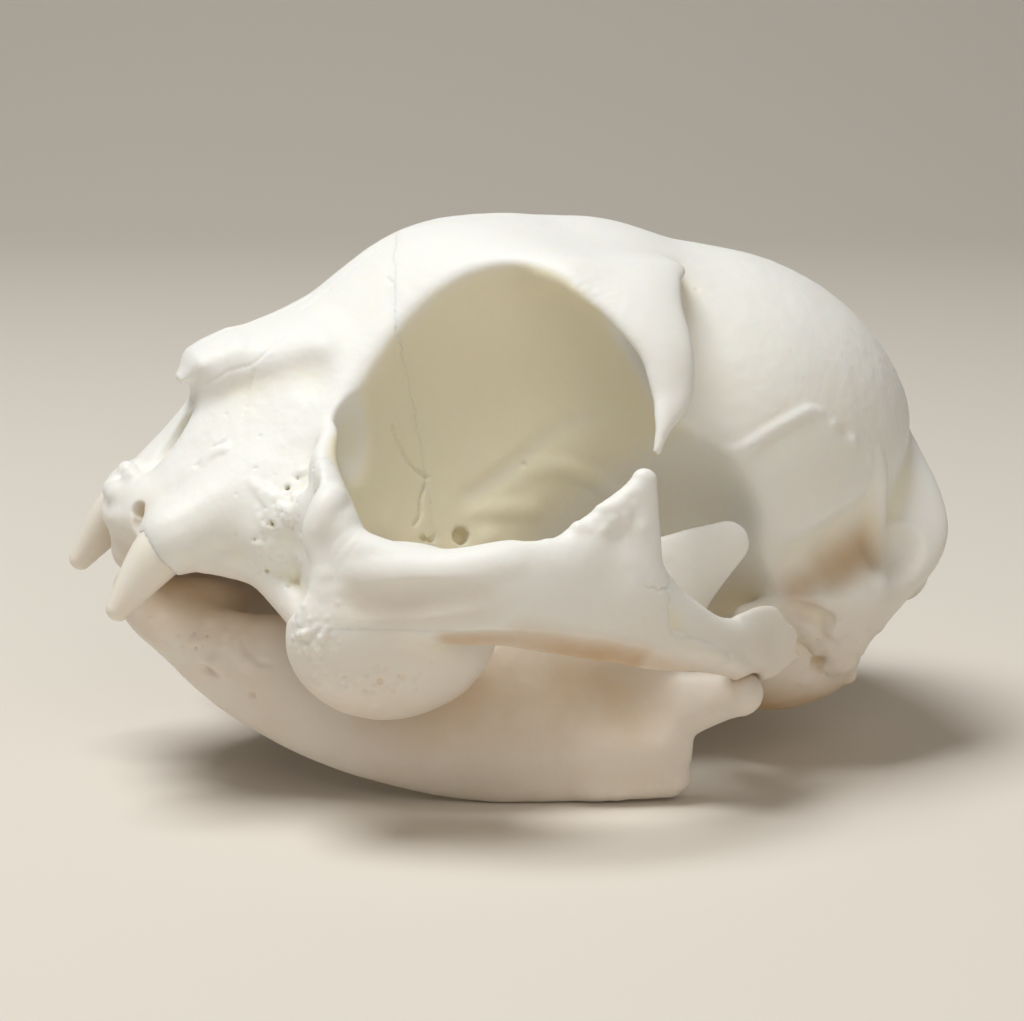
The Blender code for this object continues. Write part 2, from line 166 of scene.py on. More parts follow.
# %% A shape is a formula with corners
class Shape:
    """A formula for the distance, and two corners with all of the shape between them."""

    def __init__(self, distance, low=(-BEYOND,) * 3, high=(BEYOND,) * 3):
        self.distance, self.low, self.high = distance, low, high
        self.parts = ()


def unit(v):
    v = np.array(v, float)
    return v / np.linalg.norm(v)


def turned(turn):
    """What turns a point back from three angles about X, Y and Z."""
    a, b, c = (Matrix.Rotation(t, 3, n) for t, n in zip(turn, "XYZ"))
    return np.array((c @ b @ a).inverted())


def offset(place, point):
    return [v - p for v, p in zip(place, point)]


def dot(p, v):
    """How far p reaches along v, where p may be three arrays."""
    return p[0] * v[0] + p[1] * v[1] + p[2] * v[2]


def in_mm(near, steep):
    """A distance in mm, from one in half sizes and how steep that one is."""
    return near * (near - 1) / (steep + 1e-5)


print("a slanting direction of length one:", unit((0, 3, 4)).tolist())


# %% Balls and blades
def ball(middle, half, turn=(0.0, 0.0, 0.0)):
    """An ellipsoid with these half sizes, turned about X, then Y, then Z."""
    half = (half,) * 3 if isinstance(half, (int, float)) else half
    m = turned(turn)

    def distance(x, y, z):
        p = offset((x, y, z), middle)
        if any(turn):
            p = [dot(p, row) for row in m]
        near = np.sqrt(sum((q / h) ** 2 for q, h in zip(p, half)))
        steep = np.sqrt(sum((q / (h * h)) ** 2 for q, h in zip(p, half)))
        return in_mm(near, steep)

    r = max(half) if any(turn) else None
    spread = [r or h for h in half]
    return Shape(distance, [c - s for c, s in zip(middle, spread)],
                 [c + s for c, s in zip(middle, spread)])


def blade(start, end, first, last, side=(0.0, 0.0, 1.0), disc=False):
    """A tapering bar: half width along side, then half thickness, at each end.

    Its ends bulge by the half thickness, or with disc by the half width.
    """
    start, end = np.array(start, float), np.array(end, float)
    length = np.linalg.norm(end - start)
    along = (end - start) / length
    wide = unit(np.array(side, float) - along * np.dot(side, along))
    thin = np.cross(along, wide)

    def distance(x, y, z):
        p = offset((x, y, z), start)
        h = dot(p, along) / length
        held = np.clip(h, 0, 1)
        w = first[0] + held * (last[0] - first[0])
        t = first[1] + held * (last[1] - first[1])
        cap = w if disc else t
        s = dot(p, wide) / w
        r = dot(p, thin) / t
        o = (h - held) * length / cap
        near = np.sqrt(s * s + r * r + o * o)
        steep = np.sqrt((s / w) ** 2 + (r / t) ** 2 + (o / cap) ** 2)
        return in_mm(near, steep)

    r = max(*first, *last)
    return Shape(distance, np.minimum(start, end) - r, np.maximum(start, end) + r)


short_bar = blade((0, 0, 0), (6, 0, 0), (2.0, 1.0), (1.0, 0.5))
print(f"beside the thick end of a bar: {short_bar.distance(0, 3, 0):.2f} mm")


# %% Bands
def smooth_line(stops, every):
    """The numbers of each stop along a smooth curve through all of them."""
    rows = np.array(stops, float)
    line = []
    for i in range(len(rows) - 1):
        a, b, c, d = rows[max(i - 1, 0)], rows[i], rows[i + 1], rows[min(i + 2, len(rows) - 1)]
        for t in np.arange(0, 1, every / max(np.linalg.norm((c - b)[:3]), every)):
            line.append(b + 0.5 * t * (c - a + t * (2 * a - 5 * b + 4 * c - d
                                                  + t * (3 * b - a - 3 * c + d))))
    return line + [rows[-1]]


def band(stops, side=(0.0, 0.0, 1.0), disc=False, every=0.7):
    """A bar along a smooth curve through stops of (point, half width, half thickness)."""
    line = smooth_line([(*p, w, t) for p, w, t in stops], every)
    return union([blade(a[:3], b[:3], a[3:], b[3:], side, disc) for a, b in zip(line, line[1:])])


def union(parts, blend=0.0):
    """Several shapes as one."""
    def distance(x, y, z):
        whole = parts[0].distance(x, y, z)
        for part in parts[1:]:
            whole = soft_min(whole, part.distance(x, y, z), blend)
        return whole

    made = Shape(distance, np.min([p.low for p in parts], 0), np.max([p.high for p in parts], 0))
    made.parts = parts if blend == 0 else ()
    return made


print("a band of 5 mm has", len(band([((0, 0, 0), 1, 1), ((5, 0, 0), 1, 1)]).parts), "blades")


# %% Walls and overlaps
def wall(point, facing):
    """Everything behind the plane through point that faces this way."""
    n = unit(facing)
    return Shape(lambda x, y, z: dot(offset((x, y, z), point), n))


def both(a, b, blend=0.0):
    """Where two shapes overlap."""
    return Shape(lambda x, y, z: -soft_min(-a.distance(x, y, z), -b.distance(x, y, z), blend))


def outside(a):
    return Shape(lambda x, y, z: -a.distance(x, y, z))


def grown(a, by):
    """A shape with this many mm more all round."""
    return Shape(lambda x, y, z: a.distance(x, y, z) - by, [v - by for v in a.low],
                 [v + by for v in a.high])


print(f"halfway out in a ball of 2 mm: {ball((0, 0, 0), 2.0).distance(0, 0, 1):.2f} mm")

# %% [markdown]
# ## From clay to mesh
#
# A surface net puts one point in every cell of the block that the skin passes through, at the mean
# of the places where the skin crosses the cell's edges, and joins the points of neighbouring
# cells with four-sided faces. The points are then pulled onto the skin itself, which removes the
# stair steps of the grid. Blender's own remeshing would do the same, but only for a mesh that is
# there already.

# %% Surface net
NEAR = 0.45  # no point is moved further at once, in cells


def shifted(corner, shape):
    return tuple(slice(o, o + n) for o, n in zip(corner, shape))


def net_points(d):
    """One point for each cell that the skin crosses, in cells, and each cell's number."""
    shape = np.array(d.shape) - 1
    corners = list(np.ndindex(2, 2, 2))
    count = sum((d[shifted(c, shape)] < 0).astype(np.uint8) for c in corners)
    cell = np.argwhere((count > 0) & (count < 8))
    number = np.full(shape, -1, np.int32)
    number[tuple(cell.T)] = np.arange(len(cell))
    total, hits = np.zeros((len(cell), 3)), np.zeros(len(cell))
    for corner in corners:
        for axis in range(3):
            if corner[axis]:
                continue
            a, b = np.array(corner), np.array(corner)
            b[axis] = 1
            da, db = d[tuple((cell + a).T)], d[tuple((cell + b).T)]
            cross = (da < 0) != (db < 0)
            t = np.where(cross, da / np.where(cross, da - db, 1), 0)
            total += cross[:, None] * (a + t[:, None] * (b - a))
            hits += cross
    return cell + total / hits[:, None], number


def net_faces(d, number):
    """A four-sided face round every grid edge that the skin crosses."""
    solid = d < 0
    faces = []
    for axis in range(3):
        u, v = [(1, 2), (2, 0), (0, 1)][axis]
        one = [slice(1, n) for n in number.shape]
        one[axis] = slice(0, number.shape[axis])
        two = list(one)
        two[axis] = slice(1, number.shape[axis] + 1)
        a, b = solid[tuple(one)], solid[tuple(two)]
        start = np.ones(3, int)
        start[axis] = 0
        for edge, turn in ((np.argwhere(a & ~b), 1), (np.argwhere(~a & b), -1)):
            quad = []
            for du, dv in ((-1, -1), (0, -1), (0, 0), (-1, 0)):
                c = edge + start
                c[:, u] += du
                c[:, v] += dv
                quad.append(number[tuple(c.T)])
            faces.append(np.stack(quad[::turn], 1))
    return np.concatenate(faces)


trial = Clay((-2, -2, -2), (2, 2, 2), 0.3)
trial.add(ball((0, 0, 0), 1.0))
cells, number = net_points(trial.d)
net = net_faces(trial.d, number)
print("a ball of 1 mm as a net:", len(cells), "points and", len(net), "faces")


# %% Reading the clay between its points
def sample(d, low, step, points):
    """The distance at each point, and the direction in which it grows."""
    p = (points - low) / step
    i = np.clip(np.floor(p).astype(int), 0, np.array(d.shape) - 2)
    f = p - i
    value, slope = np.zeros(len(p)), np.zeros((len(p), 3))
    for c in np.ndindex(2, 2, 2):
        w = [f[:, k] if c[k] else 1 - f[:, k] for k in range(3)]
        s = [1 if c[k] else -1 for k in range(3)]
        v = d[tuple((i + c).T)]
        value += w[0] * w[1] * w[2] * v
        slope[:, 0] += s[0] * w[1] * w[2] * v
        slope[:, 1] += w[0] * s[1] * w[2] * v
        slope[:, 2] += w[0] * w[1] * s[2] * v
    return value, slope / step


def pull(points, d, low, step, chosen=None):
    """Moves points onto the skin, each by less than half a cell."""
    value, slope = sample(d, low, step, points)
    move = -(value / np.maximum((slope ** 2).sum(1), 0.05))[:, None] * slope
    far = np.linalg.norm(move, axis=1, keepdims=True)
    move *= np.minimum(1, NEAR * step / np.maximum(far, 1e-9))
    return points + (move if chosen is None else move * chosen[:, None])


rough = trial.low + trial.step * cells
for title, spots in (("net", rough), ("pulled net", pull(rough, trial.d, trial.low, trial.step))):
    print(f"{title}: {np.ptp(np.linalg.norm(spots, axis=1)):.3f} mm out of round")


# %% Loose pieces are dropped
def largest(points, faces):
    """The points and faces of the piece that has the most points."""
    label = np.arange(len(points))
    while True:
        new = label.copy()
        low = label[faces].min(1)
        for k in range(4):
            np.minimum.at(new, faces[:, k], low)
        while (new[new] != new).any():
            new = new[new]
        if (new == label).all():
            break
        label = new
    keep = label == np.bincount(label).argmax()
    number = np.cumsum(keep) - 1
    return points[keep], number[faces[keep[faces[:, 0]]]]


print("faces in the largest piece:", len(largest(rough, net)[1]))

# %% [markdown]
# ## A block cut along a seam
#
# Where a bone ends at a suture, its skin turns a sharp corner. The net alone would round that
# corner and leave a ditch along the seam, so the points near it are pulled onto both surfaces in
# turn, the skin and the cut, until they lie on the line where the two meet. The skin also gets
# low hills at three sizes, as no bone is quite smooth. A bump map would do for the finest, but
# the larger ones have to show in the outline and in raking light.

# %% Low random hills
HILLS = np.random.default_rng(5).uniform(-1, 1, (32, 32, 32))


def hills(points, apart):
    """Smooth random heights between minus one and one, this many mm apart."""
    p = points / apart
    i = np.floor(p).astype(int)
    f = p - i
    f = f * f * (3 - 2 * f)
    height = np.zeros(len(p))
    for c in np.ndindex(2, 2, 2):
        w = [f[:, k] if c[k] else 1 - f[:, k] for k in range(3)]
        j = (i + c) % len(HILLS)
        height += w[0] * w[1] * w[2] * HILLS[j[:, 0], j[:, 1], j[:, 2]]
    return height


def relief(points):
    """How far in mm the skin of the bone wanders from its plain form."""
    fine = 0.5 + 0.5 * np.clip(1.5 * hills(points, 9.0), -1, 1)
    return (0.07 * hills(points, 3.7) + (0.012 + 0.020 * fine) * hills(points + 3, 1.1)
            + (0.006 + 0.012 * fine) * hills(points + 7, 0.5))


rises = relief(np.random.default_rng(1).uniform(0, 40, (500, 3)))
print(f"the skin wanders from {rises.min():.2f} to {rises.max():.2f} mm")

# %% One bone out of the shared clay
EDGE = 0.12  # a bone reaches this many mm past its seam
LAP = 0.30  # its lower neighbour goes on below it for this many mm
SINK = 0.12  # and dips by this many mm on the way


def skin_of(clay, region=None, over=None):
    """Points in mm and faces of the clay, or of its part inside a region and below over."""
    d, low, cut = clay.both_sides(clay.d), np.array(clay.low, float), None
    if clay.mirrored:
        low[0] = -clay.axis[0][-1]
    if region is not None:
        cut = clay.both_sides(clay.read(region))
    whole = d if cut is None else np.maximum(d, cut)
    cells, number = net_points(whole)
    faces = net_faces(whole, number)
    points = low + clay.step * cells
    if cut is None:
        for _ in range(3):
            points = pull(points, d, low, clay.step)
        return largest(points, faces)
    skin, _ = sample(d, low, clay.step, points)
    edge, _ = sample(cut, low, clay.step, points)
    corner = -NEAR * clay.step
    on_skin = (skin >= edge) | (skin > corner)
    on_edge = (edge >= skin) | (edge > corner)
    for _ in range(6):
        points = pull(points, d, low, clay.step, on_skin)
        points = pull(points, cut, low, clay.step, on_edge)
    _, out = sample(d, low, clay.step, points)
    rise = relief(points)
    if over is not None:
        under, _ = sample(clay.both_sides(clay.read(over)), low, clay.step, points)
        rise = rise - SINK * np.clip(-under / LAP, 0, 1)
    return largest(points + (on_skin * rise)[:, None] * out, faces)


print("half a ball:", len(skin_of(trial, wall((0, 0, 0), (1, 0, 0)))[1]), "faces")

# %% [markdown]
# ## The lower jaw
#
# Each half is a flat curved bar that deepens from the chin to the angle, with a tall thin blade
# behind it for the chewing muscle and a rolled end that sat in the joint. A bevelled curve could
# only scale one section along the bar. A band of blades follows the same line, and each of its
# stops has a depth and a thickness of its own. The jaw carries the model, so the clay below the
# floor is cut away.

# %% A coarse block, to try each step on
draft = Clay((0, -42, -1), (33, 43, 53), 1.0, True)


def tried(make, clay=draft):
    """Works on the coarse block and prints how much clay it has then."""
    make(clay)
    print(f"{make.__name__}: {clay.volume():.3f} cm3 of clay")


# %% Lower jaw in clay
RESTS_AT = 0.06  # mm above the floor


def lower_jaw(c):
    c.add(band((
        ((2.6, -35.9, 17.7), 2.6, 2.2), ((5, -33, 15.1), 3.1, 2.8),
        ((8, -27.8, 12.3), 4.9, 2.9), ((11.4, -20.6, 9.8), 6.6, 2.9),
        ((14.6, -14, 8.3), 7.1, 2.7), ((17.4, -6, 7.7), 7.9, 2.4), ((19.4, 0.6, 8.3), 8.6, 2.1),
    ), disc=True))
    c.add(band((
        ((17.6, -6, 9.5), 6, 2.1), ((19.5, 2, 14.6), 7.2, 1.6), ((20.9, 8.5, 20.5), 4.2, 1.3),
        ((21.9, 13.6, 23.9), 2.1, 0.9),
    ), side=(0, 0.4, 1), disc=True), 2)
    c.add(blade((26.3, 13.7, 11), (17.5, 12.8, 11.2), (1.8, 1.7), (1.7, 1.5)), 1.2)
    c.add(blade((21, 7, 8.5), (25.6, 13.2, 10.9), (3.6, 1.7), (2, 1.6)), 1.5)
    c.add(blade((20.6, 2, 5), (22.2, 6.8, 5.4), (4.6, 1.8), (3.4, 1.4), disc=True), 1.5)
    c.add(blade((20.8, 4, 3.2), (21.8, 8.6, 2.6), (3, 1.9), (2.2, 1.6)), 1)
    c.add(ball((3, -32, 17), (2.2, 5.4, 2.8)), 3)
    c.add(band((
        ((9.4, -25.5, 15.2), 1.7, 1.7), ((11.6, -20.5, 15.4), 1.8, 1.8),
        ((14.6, -14, 14.6), 1.6, 1.6),
    )), 2)
    c.keep(wall((0, 0, RESTS_AT), (0, 0, -1)), 0.4)


tried(lower_jaw, draft.blank())

# %% [markdown]
# ## Canines
#
# A canine is a slightly bent cone, thickest at its neck, and here it is worn blunt. Its root sits
# in the muzzle. A cone of a few rings would need smoothing, while a short band has the bend and
# the swelling already. The form is made first, because the muzzle gets a socket of its size.

# %% Root, neck and tip
CANINE_ROOT = (9.6, -31.8, 25.6)
CANINE_NECK = (10, -35.8, 24.4)
CANINE_TIP = (10.5, -40.2, 19.2)
TOOTH_SIDE = (0, 1, 0.4)
canine_form = band((
    (CANINE_ROOT, 1.7, 1.4),
    (CANINE_NECK, 2.5, 2.1),
    (CANINE_TIP, 1.1, 1),
), side=TOOTH_SIDE, every=0.25)
print(f"crown: {math.dist(CANINE_NECK, CANINE_TIP):.1f} mm from neck to tip")

# %% [markdown]
# ## Braincase, brow and muzzle
#
# The skull of an adult cat is one fused case. Modelling every bone alone would leave gaps and
# steps between them, so it starts as one body of clay: an egg for the brain, a second one for the
# brow and a block for the muzzle. The bones are parted afterwards along their sutures.


# %% The case, and the slopes that shape the muzzle
def case_and_muzzle(c):
    c.add(ball((0, 17.4, 29.3), (21.2, 23.4, 19.5), (-0.10, 0, 0)))
    c.add(ball((0, -3, 32.5), (19, 22.5, 18.9)), 5)
    c.add(ball((0, 8, 32), (18.5, 15.5, 19.4)), 4)
    c.add(blade((0, 36, 20), (0, 6, 17), (10, 5), (6.5, 4.5), (1, 0, 0)), 3)
    c.add(blade((13, 18, 18), (16, 27, 17), (5, 6), (4, 5.5), (1, 0, 0)), 3)
    c.add(blade((0, 8, 19), (0, -14, 22), (6, 6.5), (8, 6), (1, 0, 0)), 3)
    c.add(blade((0, -2, 46.4), (14, -2, 45.8), (12, 5.2), (9, 4.2), (0, 1, 0)), 5)
    c.add(band((
        ((0, -35.6, 27.6), 7.4, 4.4), ((0, -31, 31), 9, 7.8), ((0, -26.5, 32.2), 12.2, 9.6),
        ((0, -19, 33), 16, 11.2),
    ), side=(1, 0, 0)), 3)
    c.add(ball((9, -23, 27), (9, 8, 8)), 3)
    c.add(blade((0, -36, 25.5), (0, -14, 20.5), (7.5, 2.6), (12, 2.6), (1, 0, 0)), 2.5)
    slope = wall((0, -34.1, 32.2), (0, -0.74, 0.67))
    steep = wall((0, -31.2, 36), (0, -0.90, 0.44))
    c.keep(union((slope, steep), 1.5), 1.2)
    c.keep(wall((10, -30.9, 30.6), (0.55, -0.52, 0.65)), 4)
    c.add(blade((0, -28.4, 38.8), (0, -20, 40.6), (4.6, 2.8), (8, 3.2), (1, 0, 0)), 3)
    c.add(blade((0, -35.6, 27), (0, -36.4, 22.2), (6.8, 3.2), (4.8, 2.4), (1, 0, 0)), 1.2)


tried(case_and_muzzle)

# %% [markdown]
# ## Eye socket and horn
#
# A cat's eye socket is round, very large and open at the back, where only a horn from the brow
# and one from the cheek reach towards each other. A boolean cut would leave a knife edge all
# round. Carving with a soft minimum rounds the rim in the same move. The horn is a band whose
# stops get thinner towards its tip, and so is the pillar in front of the eye.

# %% The hollow, the horn and the pillar
EYE = ball((22.4, -7.4, 26.8), (11.6, 16, 24.5), (-0.04, -0.395, 0.03))
EYE_HOLLOW = union((EYE, union((
    ball((24, 3, 23), (14, 15, 14)),
    blade((20.5, -12, 13), (20.5, 14, 13), (9.5, 9.5), (9.5, 7.5)),
), 4)), 4)


def eye_socket(c):
    c.carve(EYE_HOLLOW, 3)
    c.carve(ball((15.6, -17.5, 34.6), (4.4, 4.2, 6)), 0.8)
    c.add(band((
        ((6, 4.6, 47.4), 8.2, 2.4), ((13, 5.4, 48), 7.4, 1.7), ((16.6, 5.7, 47.3), 5.5, 1.3),
        ((19.8, 6.3, 45.2), 3.7, 1.2), ((22.7, 7.1, 42.2), 2.6, 1.1), ((24.7, 7, 38.6), 1.9, 0.9),
        ((25.9, 6, 36.6), 1.1, 0.7), ((26.5, 5.4, 35.4), 0.6, 0.5),
        ((27, 4.8, 34), 0.35, 0.35),
    ), side=(0, 1, 0)), 2)
    c.add(band((
        ((13.6, -21.2, 34.6), 0.6, 0.6), ((16.2, -22.3, 33.6), 1, 1),
        ((18.4, -23.1, 32), 1.5, 1.5), ((22, -23.2, 28.2), 2.2, 2.2),
    )), 2)


tried(eye_socket)

# %% [markdown]
# ## Cheek and arch
#
# The arch is a bowed strap from the muzzle to the ear that the chewing muscle pulls on, with a
# horn towards the one of the brow. Below its front end lies a round swelling over the roots of
# the back teeth. A strip of faces with a thickness would be stiff, while a band can be tall in
# the middle and thin at its ends.


# %% Swelling, arch and the horn of the cheek
def cheek_and_arch(c):
    c.add(blade((9.9, -34.5, 25.2), (9.8, -27, 29), (3.3, 3.3), (2.8, 2.8)), 4)
    c.add(band((
        ((11.3, -32, 23.4), 1.3, 1.2), ((12.3, -29.3, 22.8), 1.3, 1.2),
        ((13.4, -27.6, 22.2), 1.4, 1.2), ((15, -26, 20.6), 1.6, 1.3),
        ((17.5, -25, 19), 1.6, 1.3),
    )), 1.5)
    c.add(ball((22.3, -18, 18.4), (5.2, 9.6, 8.1), (0, 0.12, 0)), 2)
    c.add(blade((17.2, -22.6, 25), (17.6, -22.8, 21), (2.4, 2.2), (2.2, 2)), 2)
    c.add(band((
        ((18, -23.6, 27.8), 3.6, 2.6), ((23.6, -21.8, 24), 4.1, 2.4),
        ((28, -15.2, 22.6), 4.1, 2.3), ((30.2, -9, 22.8), 4.7, 2),
        ((30.7, -1, 21.6), 5.2, 1.7), ((30.1, 4.2, 18.8), 3.9, 1.7),
        ((28.6, 9.4, 16.5), 2.6, 1.6), ((26, 14.4, 15), 2.8, 1.4),
        ((23.8, 17, 14.2), 2.2, 1.2),
    )), 1.6)
    c.add(blade((30.4, -4.6, 25), (29.4, 1.8, 31), (2.6, 1.6), (0.9, 0.9), (0, 1, 0)), 1.5)
    c.add(blade((30.6, 0.8, 22.5), (29.2, 2.8, 32), (3.4, 1.6), (1.1, 0.9), (0, 1, 0)), 1)
    c.add(blade((23, 16.4, 12.6), (14, 19, 13), (1.2, 2.4), (3, 3)), 1.5)


tried(cheek_and_arch)

# %% [markdown]
# ## Back of the head
#
# Two thin-walled capsules hold the parts of the ears, a crest for the muscles of the neck runs
# over the back, and two knobs beside the opening for the spinal cord carry the head. All of them
# run into each other, so the blends do the work here: wide ones for old swellings and narrow
# ones for thin edges.

# %% Ear capsules, crest and the way out of the spinal cord
BULLA_MIDDLE, BULLA_HALF, BULLA_TURN = (11.6, 22.6, 10.8), (5.9, 8.9, 6), (0, 0, -0.25)


def back_of_head(c):
    c.add(ball(BULLA_MIDDLE, BULLA_HALF, BULLA_TURN), 1.2)
    c.add(ball((17.2, 26.8, 13.2), (2.4, 2.6, 4)), 1.5)
    c.carve(band((
        ((20.9, 17.4, 17), 1.2, 1.2), ((20.9, 21, 15.8), 2.8, 1.9),
        ((19.8, 24.5, 15.2), 1.5, 1.3),
    )), 0.6)
    c.add(band((
        ((27.2, 12.6, 15.6), 3, 1), ((25.6, 15.6, 15.4), 3.4, 0.9),
        ((24.4, 18.2, 15), 2.9, 0.8), ((23.5, 20.2, 14.6), 1.7, 0.7),
    )), 0.5)
    c.carve(band((
        ((4, 43.5, 31.5), 3, 3), ((12.5, 40.6, 28), 3.6, 3.6),
        ((19.5, 35, 23.5), 4.2, 4.2), ((22.5, 28, 20), 3.4, 3.4),
    )), 3)
    c.add(band((
        ((0, 36.6, 32), 3, 2), ((8.4, 36.4, 28.4), 3.2, 1.6),
        ((13.8, 36.6, 22.4), 3.4, 1.4), ((16.4, 31.8, 17.9), 3.2, 1.5),
        ((17.8, 27.8, 14.4), 2.6, 1.6),
    ), side=(0, 1, 0)), 1.5)
    c.carve(band((
        ((18.6, 31, 25.2), 2.4, 2.4), ((21.4, 28, 22.8), 3.2, 3.2),
        ((22.8, 24, 20.6), 3.2, 3.2), ((22.4, 19.8, 19.2), 1.8, 1.8),
    )), 1.6)
    c.add(band((
        ((17.6, 17.5, 15.6), 1.3, 1.1), ((18.6, 22.5, 16.6), 1.5, 1.1),
        ((17.4, 28, 16.8), 1.5, 1.2), ((15.8, 32.5, 18.2), 1.5, 1.2),
    )), 3)
    c.carve(ball((0, 47.5, 22), (16, 10, 8.5)), 2)
    c.add(ball((7.4, 37.6, 17.8), (3.2, 3.6, 4.8), (0.5, 0, 0.3)), 1.2)
    c.carve(ball((0, 40, 20.5), (6.2, 9, 5.4)), 0.8)


tried(back_of_head)

# %% [markdown]
# ## Nose and palate
#
# The nose opens below the hooked tip of the nasal bones, and the palate is a shallow trough
# between the tooth rows. Both are carved into the full muzzle and end blind: the thin scrolls
# inside a real nose can't be seen, and would cost many faces.


# %% Nose opening and palate
def nose_and_palate(c):
    c.carve(band((
        ((0, -36.6, 30.1), 2.4, 1), ((0, -34.3, 32.7), 3.2, 1.2), ((0, -32.4, 35.4), 2.6, 1),
    ), side=(1, 0, 0)), 2.4)
    c.carve(blade((0, -38, 30.4), (0, -30, 33.2), (1.4, 1.8), (1.6, 1.9), (1, 0, 0)), 1)
    c.add(blade((0, -27, 40.2), (0, -30.3, 39.5), (4.6, 2.1), (3.4, 1.1), (1, 0, 0)), 1.5)
    c.add(blade((0, -30.3, 39.5), (0, -31.9, 38.2), (3.4, 1.1), (1.6, 0.5), (1, 0, 0)), 1)
    c.carve(blade((0, -32, 18.2), (0, -12, 14.6), (5.5, 3), (9.5, 3.6), (1, 0, 0)), 1.5)
    c.carve(blade((0, -12, 17.5), (0, 4, 14), (4, 3.2), (3.2, 2.4), (1, 0, 0)), 1)


tried(nose_and_palate)

# %% All of it, with room left for the teeth and the lower jaw
TOOTH_GAP = 0.02
JAW_GAP = 0.4


def upper_skull(c):
    for make in (case_and_muzzle, eye_socket, cheek_and_arch, back_of_head, nose_and_palate):
        make(c)
    c.carve(grown(canine_form, TOOTH_GAP), 0.05)
    jaw = c.blank()
    lower_jaw(jaw)
    c.carve_grid(jaw.d - JAW_GAP, 0.3)


tried(upper_skull, draft.blank())

# %% [markdown]
# ## Marks on the skin
#
# Sutures, holes for nerves and vessels, cracks and muscle lines are small, but they are what makes
# a skull look grown. A bump map could draw them, but they would vanish at the outline and cast
# no shadow. Each is a thin blade or ball that is carved or added where a list of points says. The
# points need not be exact: they are first slid along the slope of the distance until they lie on
# the skin, so a mark follows any later change of the clay below it.


# %% Points seated on the skin
def inside(clay, points, margin=1):
    """Which points lie in the block, and this far from its ends."""
    low = np.array([a[0] for a in clay.axis]) + margin
    low[0] -= margin + 0.5 if clay.mirrored else 0
    high = np.array([a[-1] for a in clay.axis]) - margin
    return ((points > low) & (points < high)).all(1)


def seat(clay, points):
    """The nearest points of the skin, and the way out of the bone there."""
    low = np.array([a[0] for a in clay.axis], float)
    for _ in range(6):
        value, slope = sample(clay.d, low, clay.step, points)
        size = np.maximum((slope ** 2).sum(1), 0.05)
        points = points - (np.clip(value, -1, 1) / size)[:, None] * slope
    _, slope = sample(clay.d, low, clay.step, points)
    return points, slope / (np.linalg.norm(slope, axis=1, keepdims=True) + 1e-6)


crown, _ = seat(draft, np.array([(5, 17, 50)]))
print("a point over the braincase comes down to", crown.round(1).tolist())


# %% Grooves and ridges
def track(clay, stops, every=0.5):
    """A smooth line along the skin, and the way out of the bone at each of its points."""
    line = np.array(smooth_line(stops, every))
    line = line[inside(clay, line)]
    return seat(clay, line) if len(line) > 1 else (line, line)


def ends(line, reach=1.2):
    """One along a line, falling to nought at its two ends."""
    far = [np.linalg.norm(line - end, axis=1) for end in (line[0], line[-1])]
    return np.clip(np.minimum(*far) / reach, 0, 1)[:, None]


def round_bar(clay, stops, half, depth, blend, side, work):
    """Works a round bar into the skin this deep: from outside with side 1, from inside with -1."""
    line, out = track(clay, stops)
    if len(line) < 2:
        return
    clear = 0.1 * blend  # lifts the fillet off the skin at the two ends
    lift = half + clear - (depth + clear) * ends(line, 2 * half)
    line = line + side * out * lift
    for a, b in zip(line, line[1:]):
        work(blade(a, b, (half, half), (half, half)), blend)


def groove(clay, stops, half, deep, blend=0.15):
    round_bar(clay, stops, half, deep, blend, 1, clay.carve)


def ridge(clay, stops, half, high, blend=0.6):
    round_bar(clay, stops, half, high, blend, -1, clay.add)


line, _ = track(draft, [(5, 10, 50), (5, 20, 50)])
print("a line of 10 mm over the braincase has", len(line), "points")


# %% Holes, dents and bumps
def seated(clay, point):
    """One point of the skin and the way out there, or None where there is no skin near."""
    point = np.array([point], float)
    if not inside(clay, point).all():
        return None
    (point,), (out,) = seat(clay, point)
    return (point, out) if np.linalg.norm(out) > 0.5 else None


def hole(clay, point, half, deep, blend=0.12):
    """A round hole, straight into the bone."""
    found = seated(clay, point)
    if found:
        point, out = found
        clay.carve(blade(point + out * half, point - out * max(deep - half, 0.01),
                         (half, half), (half * 0.85, half * 0.85)), blend)


def dent(clay, point, half, deep, blend=0.6):
    """A shallow dish."""
    found = seated(clay, point)
    if found:
        clay.carve(ball(found[0] + found[1] * (half - deep), half), blend)


def bump(clay, point, half, high, blend=0.5):
    """A low round hill."""
    found = seated(clay, point)
    if found:
        clay.add(ball(found[0] - found[1] * (half - high), half), blend)


def scatter(clay, make, middle, spread, count, seed, *sizes):
    """The same small mark many times, at random round a point."""
    dice = np.random.default_rng(seed)
    for spot in np.array(middle) + dice.normal(size=(count, 3)) * spread:
        grow = dice.uniform(0.7, 1.3)
        make(clay, spot, *[size * grow for size in sizes])


print("the skin there:", [v.round(2).tolist() for v in seated(draft, (5.0, 17.0, 50.0))])

# %% [markdown]
# ## Marks of the face
#
# The nasal bone meets the upper jaw in a fine line that ends at the tip of the nose. Two long pits
# mark the seam of the front bone, and below them the jaw carries a patch of small vessel holes
# in front of the cheekbone, whose front edge stands up as a step. The lines and the larger holes
# are placed one by one, and the smallest are scattered, because their order doesn't matter.


